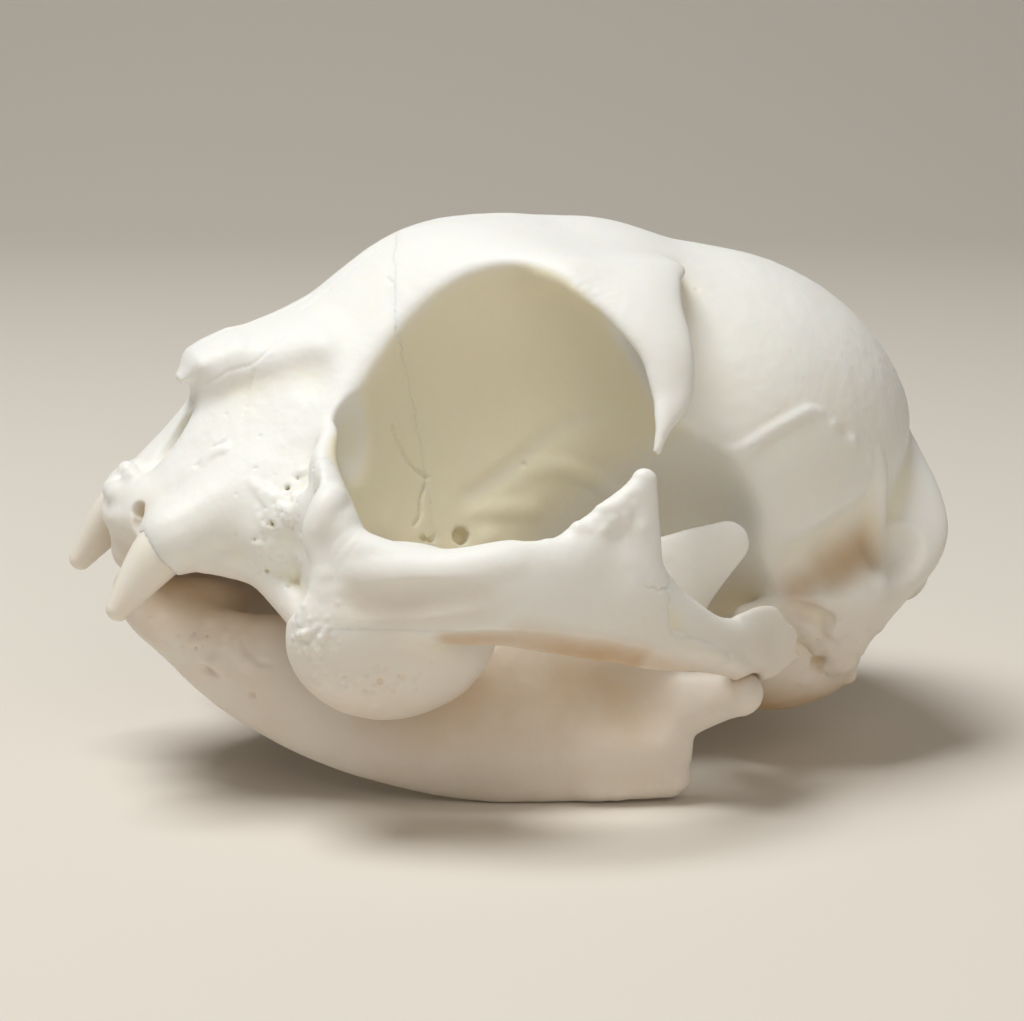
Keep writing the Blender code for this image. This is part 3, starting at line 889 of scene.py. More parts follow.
# %% Sutures and holes of the face
def mark_face(c):
    groove(c, [(5, -23.1, 42.4), (5.5, -26.1, 40.1), (4.7, -28.3, 39.3), (4.2, -29.6, 38.5),
               (3.2, -30.8, 37.7)], 0.18, 0.07)
    groove(c, [(2.2, -21.1, 44.2), (1.5, -17, 46.9), (1.3, -12.9, 49.7)], 0.18, 0.05)
    groove(c, [(5.7, -26.2, 39.5), (5.8, -26.6, 38.1), (6.7, -27.3, 36.2), (7.1, -27.8, 35.5)],
           0.18, 0.07)
    groove(c, [(0, -31, 41), (0, -26, 42), (0, -19, 45.5)], 0.2, 0.12)
    groove(c, [(7.9, -29.4, 33.6), (7.9, -30, 33), (7.7, -30.6, 32.9), (7.7, -31.1, 32.3)],
           0.26, 0.22)
    groove(c, [(7.7, -31.7, 31.9), (7.8, -32.1, 31.3), (7.6, -32.5, 31.1)], 0.26, 0.22)
    ridge(c, [(8.3, -29.6, 33.2), (8.1, -30.6, 32.4), (8, -31.6, 31.6)], 0.5, 0.08)
    groove(c, [(5.3, -13.8, 47.4), (6.7, -13.1, 46.6)], 0.18, 0.08)
    for spot in ((5.9, -29, 35.5), (9.8, -26.8, 34.1), (12.2, -27.8, 31.7)):
        hole(c, spot, 0.18, 0.2)
    dent(c, (9.4, -21.6, 38.9), 4, 0.25, 1)


tried(mark_face)

# %% The rough patch in front of the cheekbone
CHEEK_EDGE = [(20.3, -24.2, 33.6), (21, -24.8, 31.3), (21.3, -25.5, 29.4), (21, -25.9, 26.4),
              (22, -25.6, 24.4), (24, -24.9, 23)]


def mark_patch(c):
    beside = [(x - 1.9, y - 0.9, z - 0.2) for x, y, z in CHEEK_EDGE]
    groove(c, beside, 3.4, 0.55, 1.2)
    groove(c, [(x - 0.7, y - 0.4, z) for x, y, z in CHEEK_EDGE], 1.2, 0.55, 0.5)
    ridge(c, [(x + 0.5, y + 0.2, z) for x, y, z in CHEEK_EDGE[1:]], 1.2, 0.25, 0.8)
    ridge(c, [(14.2, -26.8, 29.6), (15.6, -26.6, 28.9), (16.8, -26.2, 28.6)], 0.8, 0.06)
    ridge(c, [(13.2, -28.4, 30.8), (14.6, -27.4, 29.2), (15.8, -27.6, 28.3)], 0.6, 0.05)
    bump(c, (16, -27.2, 27.3), 0.9, 0.10)
    for spot, half, deep in (
        ((15, -25.6, 30.3), 0.30, 1.2), ((14.9, -24.6, 31.1), 0.24, 0.4),
        ((16, -27.2, 27.3), 0.42, 1.2), ((15, -28.7, 25.7), 0.24, 0.5),
        ((15.8, -28, 25.7), 0.24, 0.5), ((17.6, -26.4, 27), 0.22, 0.4),
        ((15, -27.6, 22.8), 0.24, 0.5), ((16.6, -26.2, 21.9), 0.18, 0.3),
    ):
        hole(c, spot, half, deep)
    scatter(c, bump, (16, -26.8, 27.6), (1.6, 1.4, 2.6), 60, 3, 0.45, 0.04, 0.3)
    scatter(c, hole, (16, -26.8, 27), (2, 1.6, 3.2), 70, 4, 0.12, 0.15)


tried(mark_patch)


# %% The opening beside the front bone, and the knobs below the nose
def mark_nose(c):
    for spot in ((6.4, -37.5, 27.4), (6.8, -37.4, 26.6), (7.2, -37.3, 25.7)):
        hole(c, spot, 0.85, 1.6, 0.3)
    c.add(ball((0.9, -38.3, 27.9), (1.4, 1, 0.9)), 1.6)
    c.add(ball((1.4, -36.9, 29.6), (1.2, 0.8, 0.7)), 1.4)


tried(mark_nose)

# %% [markdown]
# ## Inside the eye socket
#
# Nerves and vessels leave the socket through round holes near its floor. The socket's inner wall
# is paper thin, so it is cracked on many dry skulls. The cracks are grooves of about their own
# width in depth, since a real cut through the solid would show nothing more.


# %% Holes, cracks and lines of the eye socket
def mark_socket(c):
    groove(c, [(10, -14.4, 34.6), (10.1, -13.3, 31.6), (9.9, -12, 29.9), (9.9, -10.9, 29.2)],
           0.16, 0.28)
    groove(c, [(10.2, -11.3, 28.8), (10.6, -12, 27.4), (11, -12.2, 26), (11.6, -13, 25.2)],
           0.15, 0.24)
    hole(c, (11.1, -8.3, 23.9), 0.88, 2)
    bump(c, (11.4, -5.6, 23.6), 1.6, 0.2, 0.8)
    ridge(c, [(10.6, -7, 26), (10.4, -4, 26), (10.4, -1, 25.6)], 1.4, 0.03, 0.8)
    groove(c, [(10, -7.4, 27.1), (9.6, -4.6, 28.6), (9.5, -2.2, 30.2), (9.9, 1.6, 33.1),
               (11.2, 4.4, 34.4)], 2, 0.03, 0.6)
    hole(c, (9.6, -1.7, 29.9), 0.34, 1)
    ridge(c, [(9.7, -0.8, 29.2), (10, 1, 29.8), (10.4, 2.6, 29.4), (10.8, 4.6, 28.6),
              (10.9, 6.4, 27)], 1.3, 0.04, 0.8)
    groove(c, [(11.5, -12.4, 24.2), (11.6, -11.6, 23.8), (11.6, -10.9, 24)], 0.28, 0.7, 0.1)
    hole(c, (8.7, -9.4, 33.9), 0.2, 0.3)


tried(mark_socket)

# %% [markdown]
# ## Marks of cheekbone, temple and ear
#
# Muscles leave their lines on a skull: a rounded edge with a groove below it along the arch, a
# low ridge across the temple, and a sharp front edge on the crest. Round the ear the bone is
# knobbly. Wide shallow grooves are carved with a bar much thicker than they are deep, so that
# they fade into the skin. Knobs and pits are scattered by dice with a fixed seed, which gives
# the same skull at every run.


# %% Marks of the cheekbone and arch
def mark_arch(c):
    ridge(c, [(25.8, -23, 24.8), (28.4, -18.8, 25), (30.3, -14, 25.4), (31.3, -9.6, 26)],
          2, 0.15, 0.6)
    groove(c, [(25.6, -23.6, 22.3), (27.5, -21.2, 22.4), (28.8, -19.1, 22.6), (29.9, -16.9, 22.9),
               (30.9, -14.5, 23.1), (31.6, -12, 23.3)], 3, 0.45, 0.4)
    groove(c, [(29, -16.6, 18.4), (30.2, -14.2, 18.8), (31, -11.7, 18.8), (31.4, -9, 18.7),
               (31.6, -6, 18.3), (31.6, -3, 17.7), (31.5, 1.3, 16.6), (30.8, 5.6, 15)],
           2.2, 0.5, 0.4)
    dent(c, (30.5, 1.2, 30.6), 0.8, 0.06, 0.4)
    bump(c, (30.6, 0.6, 29.3), 0.8, 0.06)
    bump(c, (30.9, 2.2, 28.2), 0.9, 0.05)
    groove(c, [(32, 1.6, 23.4), (32, 2.3, 23), (32, 2.8, 23.2), (31.9, 3.3, 22.7),
               (31.8, 3.9, 22.9), (31.4, 4.5, 22.4)], 0.2, 0.14)
    groove(c, [(31.9, 4.4, 21.4), (31.8, 4.7, 18.7), (31.2, 7, 18), (30.4, 9.3, 17),
               (28.1, 13.5, 14.4), (26, 16.2, 12.6)], 0.2, 0.08)
    ridge(c, [(31.4, 6.4, 17.2), (30.2, 9.6, 15.9), (28.2, 13.2, 13.6)], 0.9, 0.2, 0.6)
    scatter(c, bump, (30.4, -2.4, 29.6), (0.3, 2.6, 1), 24, 15, 0.5, 0.03)


tried(mark_arch)


# %% Marks of the braincase
def mark_case(c):
    ridge(c, [(20.2, 12.8, 31.6), (20.9, 14.7, 32.1), (21.1, 16.1, 32.7), (20.9, 17.4, 33.4),
              (20.5, 19.6, 34.4), (19.6, 22.5, 35.3), (19.4, 23.9, 35)], 0.5, 0.09, 0.7)
    for spot, half, high in (((19.3, 25.3, 33.9), 0.6, 0.12), ((18.8, 27.5, 32.1), 0.7, 0.16),
                             ((18, 29.6, 30.1), 0.6, 0.10)):
        bump(c, spot, half, high)
    dent(c, (19, 26.5, 33), 0.7, 0.12)
    hole(c, (11.9, 14.4, 45.9), 0.25, 0.2)
    groove(c, [(19.3, 21.6, 18.5), (18.9, 24.4, 20.1), (17.9, 27.8, 21.4), (16.4, 31, 22.2)],
           4, 0.8, 1)


tried(mark_case)


# %% The sharp front edge of the crest
def mark_crest(c):
    ridge(c, [(17.1, 30.9, 30.4), (16.8, 31.4, 27.4), (15.4, 32.4, 23.6), (16, 32.2, 20.4),
              (18.6, 30.6, 18.2)], 0.9, 0.25, 0.8)


tried(mark_crest)


# %% Marks round the ear
def mark_ear(c):
    for spot, half, high in (
        ((18.4, 23.6, 13.6), 1.3, 0.25), ((18.6, 26.2, 14), 1.5, 0.30),
        ((19.4, 28.4, 13.2), 1.5, 0.30), ((17.6, 27, 11.2), 1.2, 0.30),
        ((17, 29.6, 9.6), 1.3, 0.40), ((15.8, 29.8, 8), 0.8, 0.50),
    ):
        bump(c, spot, half, high, 1)
    groove(c, [(17.3, 24.6, 10.1), (17.7, 25, 11.1), (18.2, 25.6, 11.6)], 0.5, 0.8, 0.3)
    groove(c, [(19.4, 24, 14.2), (19, 25.6, 13.4), (18.8, 27.4, 12.8)], 0.35, 0.16, 0.4)
    groove(c, [(24.6, 18.5, 17.2), (22.6, 19.6, 16.8), (20.2, 22.4, 16.2), (19.6, 25, 15.2)],
           0.9, 0.7, 0.6)
    scatter(c, bump, (18.4, 26.6, 12.4), (1, 2.2, 1.8), 30, 7, 0.8, 0.10)
    scatter(c, hole, (18.4, 26.6, 12.4), (1, 2.4, 1.8), 30, 8, 0.16, 0.2)


tried(mark_ear)


# %% Nodules over the back teeth's roots
def mark_bulge(c):
    scatter(c, bump, (25, -26, 18.8), (1.1, 1.2, 1.6), 110, 11, 0.30, 0.08, 0.2)
    scatter(c, bump, (25.6, -22, 14.6), (1.2, 2.8, 1.8), 50, 12, 0.7, 0.04, 0.3)
    scatter(c, dent, (26.4, -20.5, 15), (0.9, 2.4, 1.1), 34, 13, 0.30, 0.15, 0.1)


def mark_skull(c):
    for mark in (mark_face, mark_patch, mark_nose, mark_socket, mark_arch, mark_case, mark_crest,
                 mark_ear, mark_bulge):
        mark(c)


tried(mark_bulge)


# %% Marks of the lower jaw
def mark_jaw(c):
    ridge(c, [(8.6, -32.3, 13.5), (9.2, -31, 12.9), (9.8, -30.4, 11.9)], 0.7, 0.2)
    groove(c, [(8.5, -32.6, 12.9), (9.1, -31.5, 12.5), (9.6, -31, 11.9)], 0.42, 0.5)
    groove(c, [(10.8, -28.7, 10.6), (11.2, -28, 10.1)], 0.28, 0.4)
    groove(c, [(10, -29, 15.8), (10.3, -28.8, 14.4), (10.8, -27.6, 13.4),
               (11.2, -26.2, 13.2)], 0.3, 0.16, 0.3)
    ridge(c, [(9.6, -29.4, 15.8), (9.9, -29.2, 14.1), (10.6, -27.7, 12.9)], 0.6, 0.14)
    scatter(c, bump, (8, -31.5, 15), (1.6, 2, 1), 14, 21, 0.7, 0.06)
    scatter(c, hole, (6, -34, 13.5), (1.6, 2.2, 1.6), 40, 22, 0.14, 0.2)
    dent(c, (22.6, 3.5, 9.6), 9, 0.5, 1)
    scatter(c, bump, (22.4, 8.6, 3), (0.6, 1.4, 1.6), 14, 23, 0.8, 0.10)


jaw_draft = draft.blank()
lower_jaw(jaw_draft)
tried(mark_jaw, jaw_draft)

# %% [markdown]
# ## Parting the bones
#
# Sutures are the seams where bones grew together. They could be painted, but the solids are
# parted there too, and each needs a surface of its own. Each bone keeps the part of the shared
# clay that lies in its own region. The edge of a region wanders a little, as a real suture does,
# and both neighbours are cut by the same edge, so the seam is a hairline.

# %% Regions of the bones
face_region = union((
    wall((0, -11, 50.7), (0.41, 0.90, 0.17)),
    both(both(wall((0, -6, 0), (0, 1, 0)), wall((15, 0, 0), (-1, 0, 0))),
         wall((0, 0, 27.5), (0, 0, 1))),
))
arch_step = both(wall((30, 7.4, 17.7), (0, -0.47, -0.88)),
                 wall((30, 4.3, 19), (0, -1, 0)))
cheek_region = both(
    both(wall((19.5, -24, 31.5), (-0.93, 0.10, -0.36)),
         union((wall((0, 0, 20), (0, 0, -1)), wall((0, -9.6, 0), (0, -1, 0))))),
    both(wall((27.9, 3.4, 33.9), (0, 0.5, 1)), outside(arch_step)),
)
bulla_region = both(ball(BULLA_MIDDLE, [h + 0.5 for h in BULLA_HALF], BULLA_TURN),
                    wall((0, 0, 13), (0, 0, 1)))


print("half sizes of an ear capsule's region:", [h + 0.5 for h in BULLA_HALF], "mm")


# %% A region whose edge wanders like a suture
WANDER = 0.12


def seam(region):
    def distance(x, y, z):
        wave = np.sin(2.3 * x + 1.1 * y) * np.sin(1.9 * z + 0.7 * x)
        wave += 0.6 * np.sin(5.3 * z - 2.9 * y + 1.7 * x)
        return region.distance(x, y, z) + WANDER * wave

    return Shape(distance, region.low, region.high)


face_region, cheek_region = seam(face_region), seam(cheek_region)
print("a seam wanders by up to", 1.6 * WANDER, "mm")

# %% [markdown]
# ## Meshes
#
# Only now does Blender get the points. A mesh built with foreach_set takes whole arrays at once,
# which is much quicker than adding vertices one by one. Edges sharper than 55 degrees stay sharp
# in the shading, so the rim of a seam is crisp and the skin beside it is smooth.

# %% Points and faces to a mesh object
SHARP = math.radians(55)
print(f"edges of more than {math.degrees(SHARP):.0f} degrees stay sharp")


def mesh_object(name, points, faces):
    """A smooth mesh in metres, from points in millimetres."""
    mesh = bpy.data.meshes.new(name)
    mesh.vertices.add(len(points))
    mesh.vertices.foreach_set("co", ((points - ORIGIN) / 1000).astype(np.float32).ravel())
    mesh.loops.add(faces.size)
    mesh.loops.foreach_set("vertex_index", faces.astype(np.int32).ravel())
    mesh.polygons.add(len(faces))
    mesh.polygons.foreach_set("loop_start", np.arange(0, faces.size, 4, dtype=np.int32))
    mesh.update(calc_edges=True)
    mesh.validate()
    mesh.shade_smooth()
    mesh.set_sharp_from_angle(angle=SHARP)
    made = bpy.data.objects.new(name, mesh)
    bpy.context.scene.collection.objects.link(made)
    print(f"{name}: {len(faces)} faces after {time.time() - began:.0f} s")
    return made


def mirrored(points, faces):
    return points * (-1, 1, 1), faces[:, ::-1]


# %% [markdown]
# ## Shade where the bone is hollow
#
# Bone is painted paler on its edges and yellower in its hollows, as painted shade and the light
# that bounces inside them. A pointiness node would tell the two apart in one renderer only, and
# isn't exported. The share of solid clay around a point of the skin does so too: it is a half on a
# flat wall, more in a hollow and less on a ridge. Blurring the clay gives it for every point at
# once.


# %% How hollow the skin is
def blurred(values, cells):
    """A running mean along each axis, done twice."""
    for axis in (0, 1, 2, 0, 1, 2):
        pad = [(0, 0)] * 3
        pad[axis] = (cells + 1, cells)
        total = np.cumsum(np.pad(values, pad, "edge"), axis=axis, dtype=np.float32)
        n = values.shape[axis]
        back = [slice(None)] * 3
        front = [slice(None)] * 3
        back[axis], front[axis] = slice(0, n), slice(2 * cells + 1, 2 * cells + 1 + n)
        values = (total[tuple(front)] - total[tuple(back)]) / (2 * cells + 1)
    return values


def hollow(clay, points, reach, thin=1):
    """Nought on a sharp edge, half on a flat wall and one deep in a hollow."""
    d, low, step = clay.d[::thin, ::thin, ::thin], np.array(clay.low, float), clay.step * thin
    solid = clay.both_sides(np.clip(0.5 - d / step, 0, 1))
    if clay.mirrored:
        low[0] = -clay.axis[0][::thin][-1]
    soft = blurred(solid, max(1, round(reach / step / 1.6)))
    return sample(soft, low, step, points)[0]


print("solid clay round a point on the braincase:", hollow(draft, crown, 2.5).round(2))

# %% [markdown]
# ## Painted warm shade
#
# The bone is painted browner along some lines, as warm shade: below the temple, under the arch, in
# the mouth and on the ear capsules. Painting by hand would need an image. Here each line of painted
# shade is a line through space with a reach, and the bone's lower half is painted a little darker
# everywhere, as shade from the light above.

# %% Lines along which warm shade is painted on the bone: start, end, reach in mm and strength
SHADE_LINES = (
    ((18.8, 21.8, 18.2), (17.8, 25.6, 19.5), 1.3, 1.2),
    ((17.8, 25.6, 19.5), (16.2, 29.4, 20.8), 1.9, 1.5),
    ((21.6, 19.8, 16.4), (20.6, 22.4, 16.2), 1.6, 1.3),
    ((17.4, 24.8, 10.6), (17.9, 25.4, 11.4), 1.1, 1),
    ((13, 19, 5.5), (13, 28, 5.5), 4, 1.8),
    ((29.4, -15, 18.8), (31.2, -9, 18.8), 0.9, 1.7),
    ((31.2, -9, 18.6), (31.2, 1.3, 16.2), 1.5, 1.5),
    ((31.2, 1.3, 16.2), (26, 14.4, 12.6), 1.6, 1),
    ((26.4, -22, 21.8), (30.6, -13, 22.4), 2, 0.5),
    ((22.5, -25, 12.4), (22.5, -12, 12.4), 3, 0.9),
    ((3, -34, 19), (6, -26, 17), 4.5, 1.4),
    ((6, -26, 17), (11, -18, 15.5), 4.5, 1.3),
    ((9.6, -33, 21.8), (11.5, -28.5, 20.5), 2, 0.9),
    ((6.6, -36.6, 27), (7.4, -35.6, 25.6), 1.2, 0.6),
    ((15.5, -14, 11), (20.5, 3, 11.5), 5.5, 1.3),
)


# The bone's lower half is painted darker, as shade under the light from above.
LOW_SHADE, SHADE_TOP, SHADE_FULL = 0.6, 24, 12  # strength, and the heights of none and all of it
longest = max(math.dist(*row[:2]) for row in SHADE_LINES)
print(f"{len(SHADE_LINES)} stained lines, the longest of {longest:.1f} mm")


# %% How much warm shade is painted at a point, and whether it lines the eye socket
ARCH_X = 23.5  # beyond this lies the arch, which isn't tinted


def fade(value, none, full):
    """Nought at one value, one at the other, and even between."""
    return np.clip((value - none) / (full - none), 0, 1)


# The share of painted warm shade at each point: darker towards the bottom, and along the lines.
def painted_shade(points):
    side = points.copy()
    side[:, 0] = np.abs(side[:, 0])
    total = LOW_SHADE * fade(side[:, 2], SHADE_TOP, SHADE_FULL)
    for start, end, reach, strength in SHADE_LINES:
        along = np.subtract(end, start)
        share = np.clip((side - start) @ along / (along @ along), 0, 1)
        far = ((side - start - share[:, None] * along) ** 2).sum(1)
        total = np.maximum(total, strength * np.exp(-far / (2 * reach * reach)))
    return total


# The eye socket's wall is painted yellower, as shade and bounced light.
def in_socket(points):
    """One on the wall of the eye socket, nought from its rim outwards."""
    place = np.abs(points[:, 0]), points[:, 1], points[:, 2]
    on_wall = fade(EYE_HOLLOW.distance(*place), 0.75, 0.05)
    near_eye = fade(EYE.distance(*place), 4, 1)
    return fade(place[0], ARCH_X, ARCH_X - 5) * on_wall * near_eye


# Painted warm shade on the braincase and below the arch.
cheek = np.array([SHADE_LINES[6][0]])
print(f"stain on the braincase {painted_shade(crown)[0]:.2f}, below the arch {painted_shade(cheek)[0]:.2f}")

# %% [markdown]
# ## The bones, one after another
#
# Each bone gets a block of its own, as fine as its detail needs: the face has pores and thin
# edges, while the braincase is broad and smooth. One block for the whole skull, as fine as the
# face's, would take three times the memory.

# %% From a block to a finished bone
COARSE = 1.0


def block(low, high, step, mirrored=True):
    """The whole upper skull, or what of it lies between two corners."""
    c = Clay(low, high, step * COARSE, mirrored)
    upper_skull(c)
    mark_skull(c)
    return c


def note(made, name, values):
    """Keeps one number per point on the mesh, for the material to read."""
    field = made.data.attributes.new(name, "FLOAT", "POINT")
    field.data.foreach_set("value", values.astype(np.float32))


def finish_bone(node, clay, points, faces):
    """A bone with its numbers, in the place of the solid of that name."""
    made = mesh_object(node + "_surface", points, faces)
    side = points.copy()
    if not clay.mirrored:
        side[:, 0] = np.abs(side[:, 0])
    # These numbers say where the material paints shade: in nooks and hollows, along the lines of
    # warm shade, and on the eye socket's wall.
    note(made, "nook", hollow(clay, side, 0.5))
    note(made, "hollow", hollow(clay, side, 2.5, 3))
    note(made, "painted_shade", painted_shade(points))
    note(made, "socket", in_socket(points) * node.startswith(("brain", "face")))
    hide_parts(node)
    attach(made, "root")
    return made


def pair(node, clay, region=None):
    """The left bone of the clay, and the right one that mirrors it."""
    points, faces = skin_of(clay, region)
    return [finish_bone(node + "_left", clay, points, faces),
            finish_bone(node + "_right", clay, *mirrored(points, faces))]


print("the finest block has a point every", 0.12 * COARSE, "mm")

# %% Braincase and face
clay = block((0, -22, 8), (32, 43, 53), 0.25)
over = union((face_region, cheek_region, bulla_region))
bones = [finish_bone("braincase", clay, *skin_of(clay, grown(outside(over), LAP), over))]
clay = block((0, -42, 9), (33, -4, 51), 0.17)
region = both(grown(face_region, EDGE), grown(outside(cheek_region), LAP))
bones.append(finish_bone("face", clay, *skin_of(clay, region, cheek_region)))

# %% Cheekbones and ear capsules
clay = block((18, -28, 13), (34, 12, 35), 0.17, False)
bones += pair("cheekbone", clay, grown(cheek_region, EDGE))
clay = block((4, 12, 3), (19, 33, 14), 0.2, False)
bones += pair("bulla", clay, grown(bulla_region, EDGE))

# %% Lower jaw
clay = Clay((0, -40, -1), (30, 19, 28), 0.2 * COARSE)
lower_jaw(clay)
mark_jaw(clay)
bones += pair("mandible", clay, wall((0.03, 0, 0), (-1, 0, 0)))

# %% Canines
clay = Clay((6, -43, 15), (14, -29, 33), 0.12 * COARSE)
clay.add(canine_form)
teeth = pair("canine", clay)

# %% [markdown]
# ## Bone and tooth
#
# Bleached bone is almost white, a little translucent and half matte. Its hollows and thin walls are
# painted yellow, as shade and the light that bounces there, and its lower half is painted browner,
# as warm shade. One colour for all would look like plaster. The numbers kept on each mesh say where
# it changes, and a noise breaks them up. The colour is worked out in a group of nodes, which bone
# and tooth share with settings of their own, while the shader itself stays in each material.


# %% Short ways to add nodes
class Nodes:
    """Short ways to add nodes to a tree and join them."""

    def __init__(self, tree):
        self.tree = tree

    def add(self, kind, inputs=(), **settings):
        node = self.tree.nodes.new(kind)
        for name, value in settings.items():
            setattr(node, name, value)
        for name, value in dict(inputs).items():
            self.put(value, node.inputs[name])
        return node

    def put(self, value, socket):
        if isinstance(value, bpy.types.NodeSocket):
            self.tree.links.new(value, socket)
        else:
            socket.default_value = value

    def maths(self, operation, a, b=0.0):
        return self.add("ShaderNodeMath", {0: a, 1: b}, operation=operation).outputs[0]

    def ramp(self, value, low, high):
        """Nought at low, one at high, and smooth between."""
        node = self.add("ShaderNodeMapRange", {"Value": value, "From Min": low, "From Max": high},
                        interpolation_type="SMOOTHSTEP")
        return node.outputs["Result"]

    def noise(self, place, scale, detail=3.0, rough=0.55):
        node = self.add("ShaderNodeTexNoise", {"Vector": place, "Scale": scale, "Detail": detail,
                                               "Roughness": rough})
        return node.outputs["Fac"]

    def mix(self, share, a, b):
        """Two colours in these shares. Sockets 6, 7 and 2 are the node's ones for colours."""
        node = self.add("ShaderNodeMix", data_type="RGBA")
        self.put(share, node.inputs["Factor"])
        self.put(a, node.inputs[6])
        self.put(b, node.inputs[7])
        return node.outputs[2]


def socket(group, way, kind, name, value=None):
    made = group.interface.new_socket(name=name, in_out=way, socket_type="NodeSocket" + kind)
    if value is not None:
        made.default_value = value


print("in", bpy.app.version_string, "the sockets of a group are made on its interface")


# %% The colour of bone, from clean to painted shade, with a random tone
def shade_and_tone_group():
    group = bpy.data.node_groups.new("Bone stain", "ShaderNodeTree")
    socket(group, "INPUT", "Color", "Clean", (0.90, 0.88, 0.83, 1))
    # The second colour is painted shade and bounced light for the hollows, the third painted warm
    # shade.
    socket(group, "INPUT", "Color", "Shaded", (0.78, 0.66, 0.45, 1))
    socket(group, "INPUT", "Color", "Warm shade", (0.60, 0.42, 0.25, 1))
    socket(group, "INPUT", "Float", "Depth", 0.5)
    socket(group, "OUTPUT", "Color", "Colour")
    socket(group, "OUTPUT", "Float", "Roughness")
    socket(group, "OUTPUT", "Float", "Height")
    n = Nodes(group)
    given = n.add("NodeGroupInput").outputs
    out = n.add("NodeGroupOutput")
    place = n.add("ShaderNodeTexCoord").outputs["Object"]
    nook = n.add("ShaderNodeAttribute", attribute_name="nook").outputs["Fac"]
    deep = n.add("ShaderNodeAttribute", attribute_name="hollow").outputs["Fac"]
    blotch = n.noise(place, 140.0)
    grain = n.noise(place, 900.0, 4.0, 0.7)
    # Nooks and hollows get the second colour, as painted shade and bounced light.
    share = n.maths("ADD", n.ramp(deep, 0.52, 0.80), n.ramp(nook, 0.56, 0.85))
    share = n.maths("MULTIPLY", share, n.maths("ADD", 0.6, n.maths("MULTIPLY", blotch, 0.8)))
    share = n.maths("ADD", share, n.maths("MULTIPLY", n.ramp(blotch, 0.45, 0.8), 0.10))
    share = n.maths("ADD", share, n.maths("MULTIPLY", n.ramp(grain, 0.55, 0.8), 0.06))
    share = n.maths("MINIMUM", n.maths("MULTIPLY", share, given["Depth"]), 1.0)
    # The eye socket's wall gets it too, as painted shade and bounced light.
    lined = n.add("ShaderNodeAttribute", attribute_name="socket").outputs["Fac"]
    share = n.maths("MAXIMUM", share, n.maths("MULTIPLY", lined, 0.85))
    colour = n.mix(share, given["Clean"], given["Shaded"])
    # The lines and the lower half get the third colour, as painted warm shade.
    warm_shade = n.add("ShaderNodeAttribute", attribute_name="painted_shade").outputs["Fac"]
    warm_shade = n.maths("MULTIPLY", warm_shade, n.maths("ADD", 0.30, n.maths("MULTIPLY", blotch, 0.55)))
    n.put(n.mix(n.maths("MINIMUM", warm_shade, 1.0), colour, given["Warm shade"]), out.inputs["Colour"])
    n.put(n.maths("ADD", 0.40, n.maths("MULTIPLY", grain, 0.22)), out.inputs["Roughness"])
    n.put(n.maths("ADD", grain, n.noise(place, 2600.0, 2.0)), out.inputs["Height"])
    return group


BONE_SHADE_AND_TONE = shade_and_tone_group()
print("nodes in the stain group:", len(BONE_SHADE_AND_TONE.nodes))


# %% The two materials
GLOW = (1.0, 0.72, 0.45)  # red light goes furthest through bone
GLOW_REACH = 0.0007


def material(name, clean, shaded, depth, gloss, glow):
    """Bone or tooth: its clean colour and the painted shade of its hollows, how strongly that shade
    is painted, and how far from matte it is.
    """
    made = bpy.data.materials.new(name)
    made.use_nodes = True
    n = Nodes(made.node_tree)
    shader = made.node_tree.nodes["Principled BSDF"]
    # This group paints the shade of hollows and the warm shade below, and adds a random tone.
    shade_and_tone = n.add("ShaderNodeGroup", node_tree=BONE_SHADE_AND_TONE)
    shade_and_tone.inputs["Clean"].default_value = (*clean, 1.0)
    shade_and_tone.inputs["Shaded"].default_value = (*shaded, 1.0)
    shade_and_tone.inputs["Depth"].default_value = depth
    n.put(shade_and_tone.outputs["Colour"], shader.inputs["Base Color"])
    n.put(n.maths("SUBTRACT", shade_and_tone.outputs["Roughness"], gloss), shader.inputs["Roughness"])
    grain = n.add("ShaderNodeBump", {"Height": shade_and_tone.outputs["Height"], "Strength": 0.2,
                                     "Distance": 0.00008})
    n.put(grain.outputs["Normal"], shader.inputs["Normal"])
    shader.inputs["IOR"].default_value = 1.5
    shader.inputs["Specular IOR Level"].default_value = 0.4
    shader.inputs["Subsurface Weight"].default_value = glow
    shader.inputs["Subsurface Radius"].default_value = GLOW
    shader.inputs["Subsurface Scale"].default_value = GLOW_REACH
    return made


# The second colour of each is the painted shade of its hollows.
BONE = material("Bone", (0.88, 0.875, 0.84), (0.90, 0.84, 0.63), 0.75, 0.0, 0.30)
TOOTH = material("Tooth", (0.88, 0.84, 0.76), (0.72, 0.60, 0.42), 0.60, 0.16, 0.30)
for made in bones:
    made.data.materials.append(BONE)
for made in teeth:
    made.data.materials.append(TOOTH)
print(len(bones), "bones and", len(teeth), "teeth have a material")

# %% [markdown]
# ## Camera
#
# The skull is seen from its left side and a little from the front and above. A camera could be
# aimed with a constraint. Here its three directions are worked out from two angles, because the
# lamps and the floor are placed by the same directions. The lens is long, so that near and far
# parts of the skull keep their proportions.

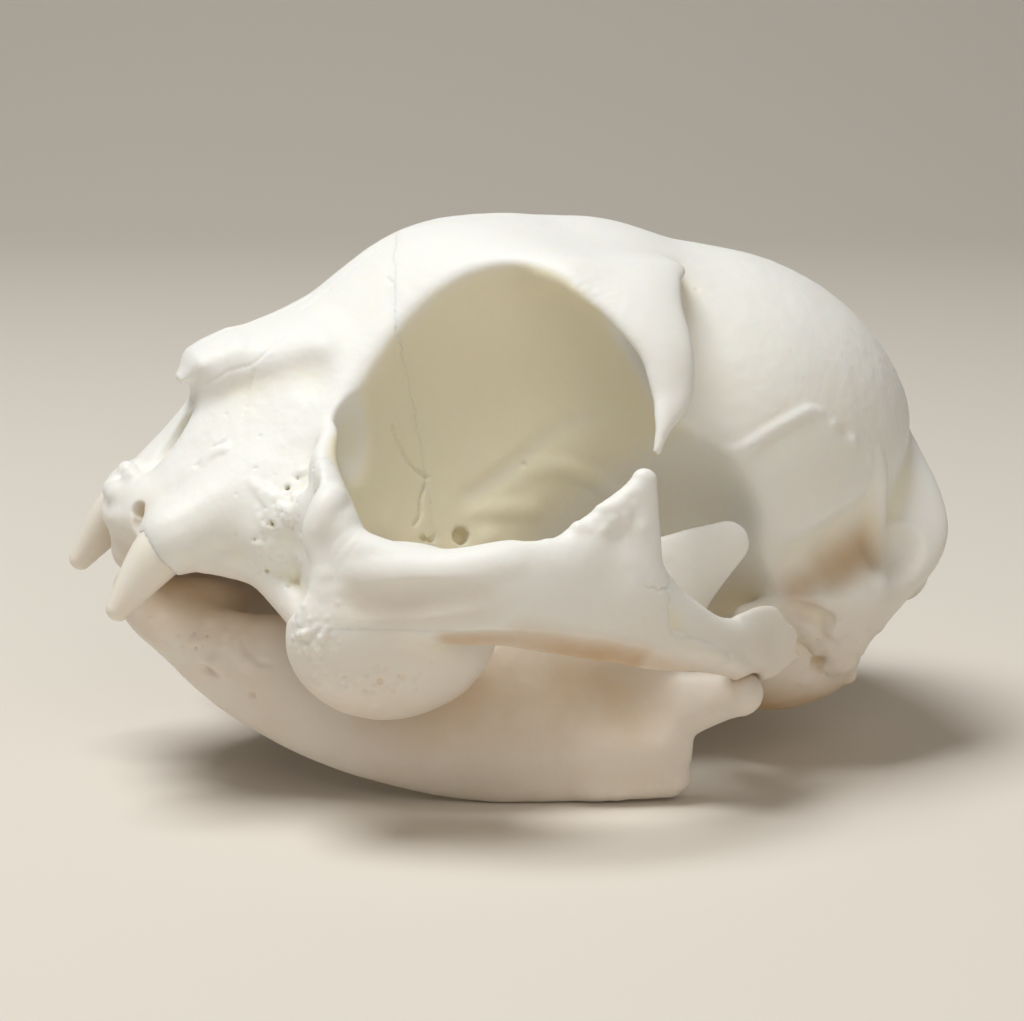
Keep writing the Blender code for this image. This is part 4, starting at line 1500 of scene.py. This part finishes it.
# %% Camera
AZIMUTH, ELEVATION = math.radians(72), math.radians(12)
TARGET = Vector((0, 0.00009, 0.0235))
DISTANCE = 0.26
LENS, SENSOR = 94.15, 36
back = Vector((math.sin(AZIMUTH) * math.cos(ELEVATION), -math.cos(AZIMUTH) * math.cos(ELEVATION),
               math.sin(ELEVATION)))
right = Vector((math.cos(AZIMUTH), math.sin(AZIMUTH), 0))
up = back.cross(right)
lens = bpy.data.cameras.new("camera")
lens.sensor_width = SENSOR
lens.lens = LENS
lens.clip_start = 0.01
camera = bpy.data.objects.new("camera", lens)
bpy.context.scene.collection.objects.link(camera)
turn = Matrix((right, up, back)).transposed().to_4x4()
camera.matrix_world = Matrix.Translation(TARGET + back * DISTANCE) @ turn
bpy.context.scene.camera = camera
print("camera at", [round(v, 3) for v in camera.matrix_world.translation])

# %% [markdown]
# ## Floor and light
#
# The skull stands on a pale sweep, as in a small photo studio: a floor that curves up into a back
# wall, so that no horizon shows. A plane alone would end in a hard line behind the skull. One
# large soft lamp high on the left gives the shadows their direction, and a weaker warm one and
# the room fill them, so that the underside keeps its colour.


# %% The sweep
def sweep():
    """A floor with a rounded rise behind the skull, seen from the camera."""
    before, behind, bend, top, wide = 1.2, 0.45, 0.40, 2.2, 2.5
    away = -Vector((back.x, back.y, 0)).normalized()
    profile = [(-before, 0.0), (behind, 0.0)]
    profile += [(behind + bend * math.sin(t), bend - bend * math.cos(t))
                for t in np.linspace(0, math.pi / 2, 25)[1:]]
    profile.append((behind + bend, top))
    points = [away * s + Vector((0, 0, z)) + right * w for w in (-wide, wide) for s, z in profile]
    n = len(profile)
    mesh = bpy.data.meshes.new("sweep")
    mesh.from_pydata(points, [], [(i, n + i, n + i + 1, i + 1) for i in range(n - 1)])
    mesh.shade_smooth()
    made = bpy.data.objects.new("sweep", mesh)
    bpy.context.scene.collection.objects.link(made)
    paper = bpy.data.materials.new("Paper")
    paper.use_nodes = True
    shader = paper.node_tree.nodes["Principled BSDF"]
    shader.inputs["Base Color"].default_value = (0.74, 0.69, 0.62, 1)
    shader.inputs["Roughness"].default_value = 0.9
    shader.inputs["Specular IOR Level"].default_value = 0.1
    mesh.materials.append(paper)
    print("the sweep has", len(mesh.polygons), "faces")


sweep()


# %% Lamps and room
def lamp(name, place, size, power, colour):
    light = bpy.data.lights.new(name, "AREA")
    light.shape = "DISK"
    light.size = size
    light.energy = power
    light.color = colour
    made = bpy.data.objects.new(name, light)
    bpy.context.scene.collection.objects.link(made)
    made.location = place
    made.rotation_euler = (Vector(place) - TARGET).to_track_quat("Z", "Y").to_euler()
    print(f"{name} lamp: {power} W, {1000 * (Vector(place) - TARGET).length:.0f} mm from the skull")


lamp("key", TARGET + 0.6 * (back * 0.28 - right * 0.32 + up * 1.00), 0.36, 3.7, (0.98, 1.0, 1.0))
lamp("fill", TARGET + 0.7 * (back * 0.95 + right * 0.25 + up * 0.35), 0.50, 1.0, (1.0, 0.91, 0.80))
world = bpy.data.worlds.new("Room")
world.use_nodes = True
background = world.node_tree.nodes["Background"]
background.inputs["Color"].default_value = (0.90, 0.87, 0.82, 1)
background.inputs["Strength"].default_value = 0.20
bpy.context.scene.world = world
bpy.context.scene.view_settings.view_transform = "Standard"
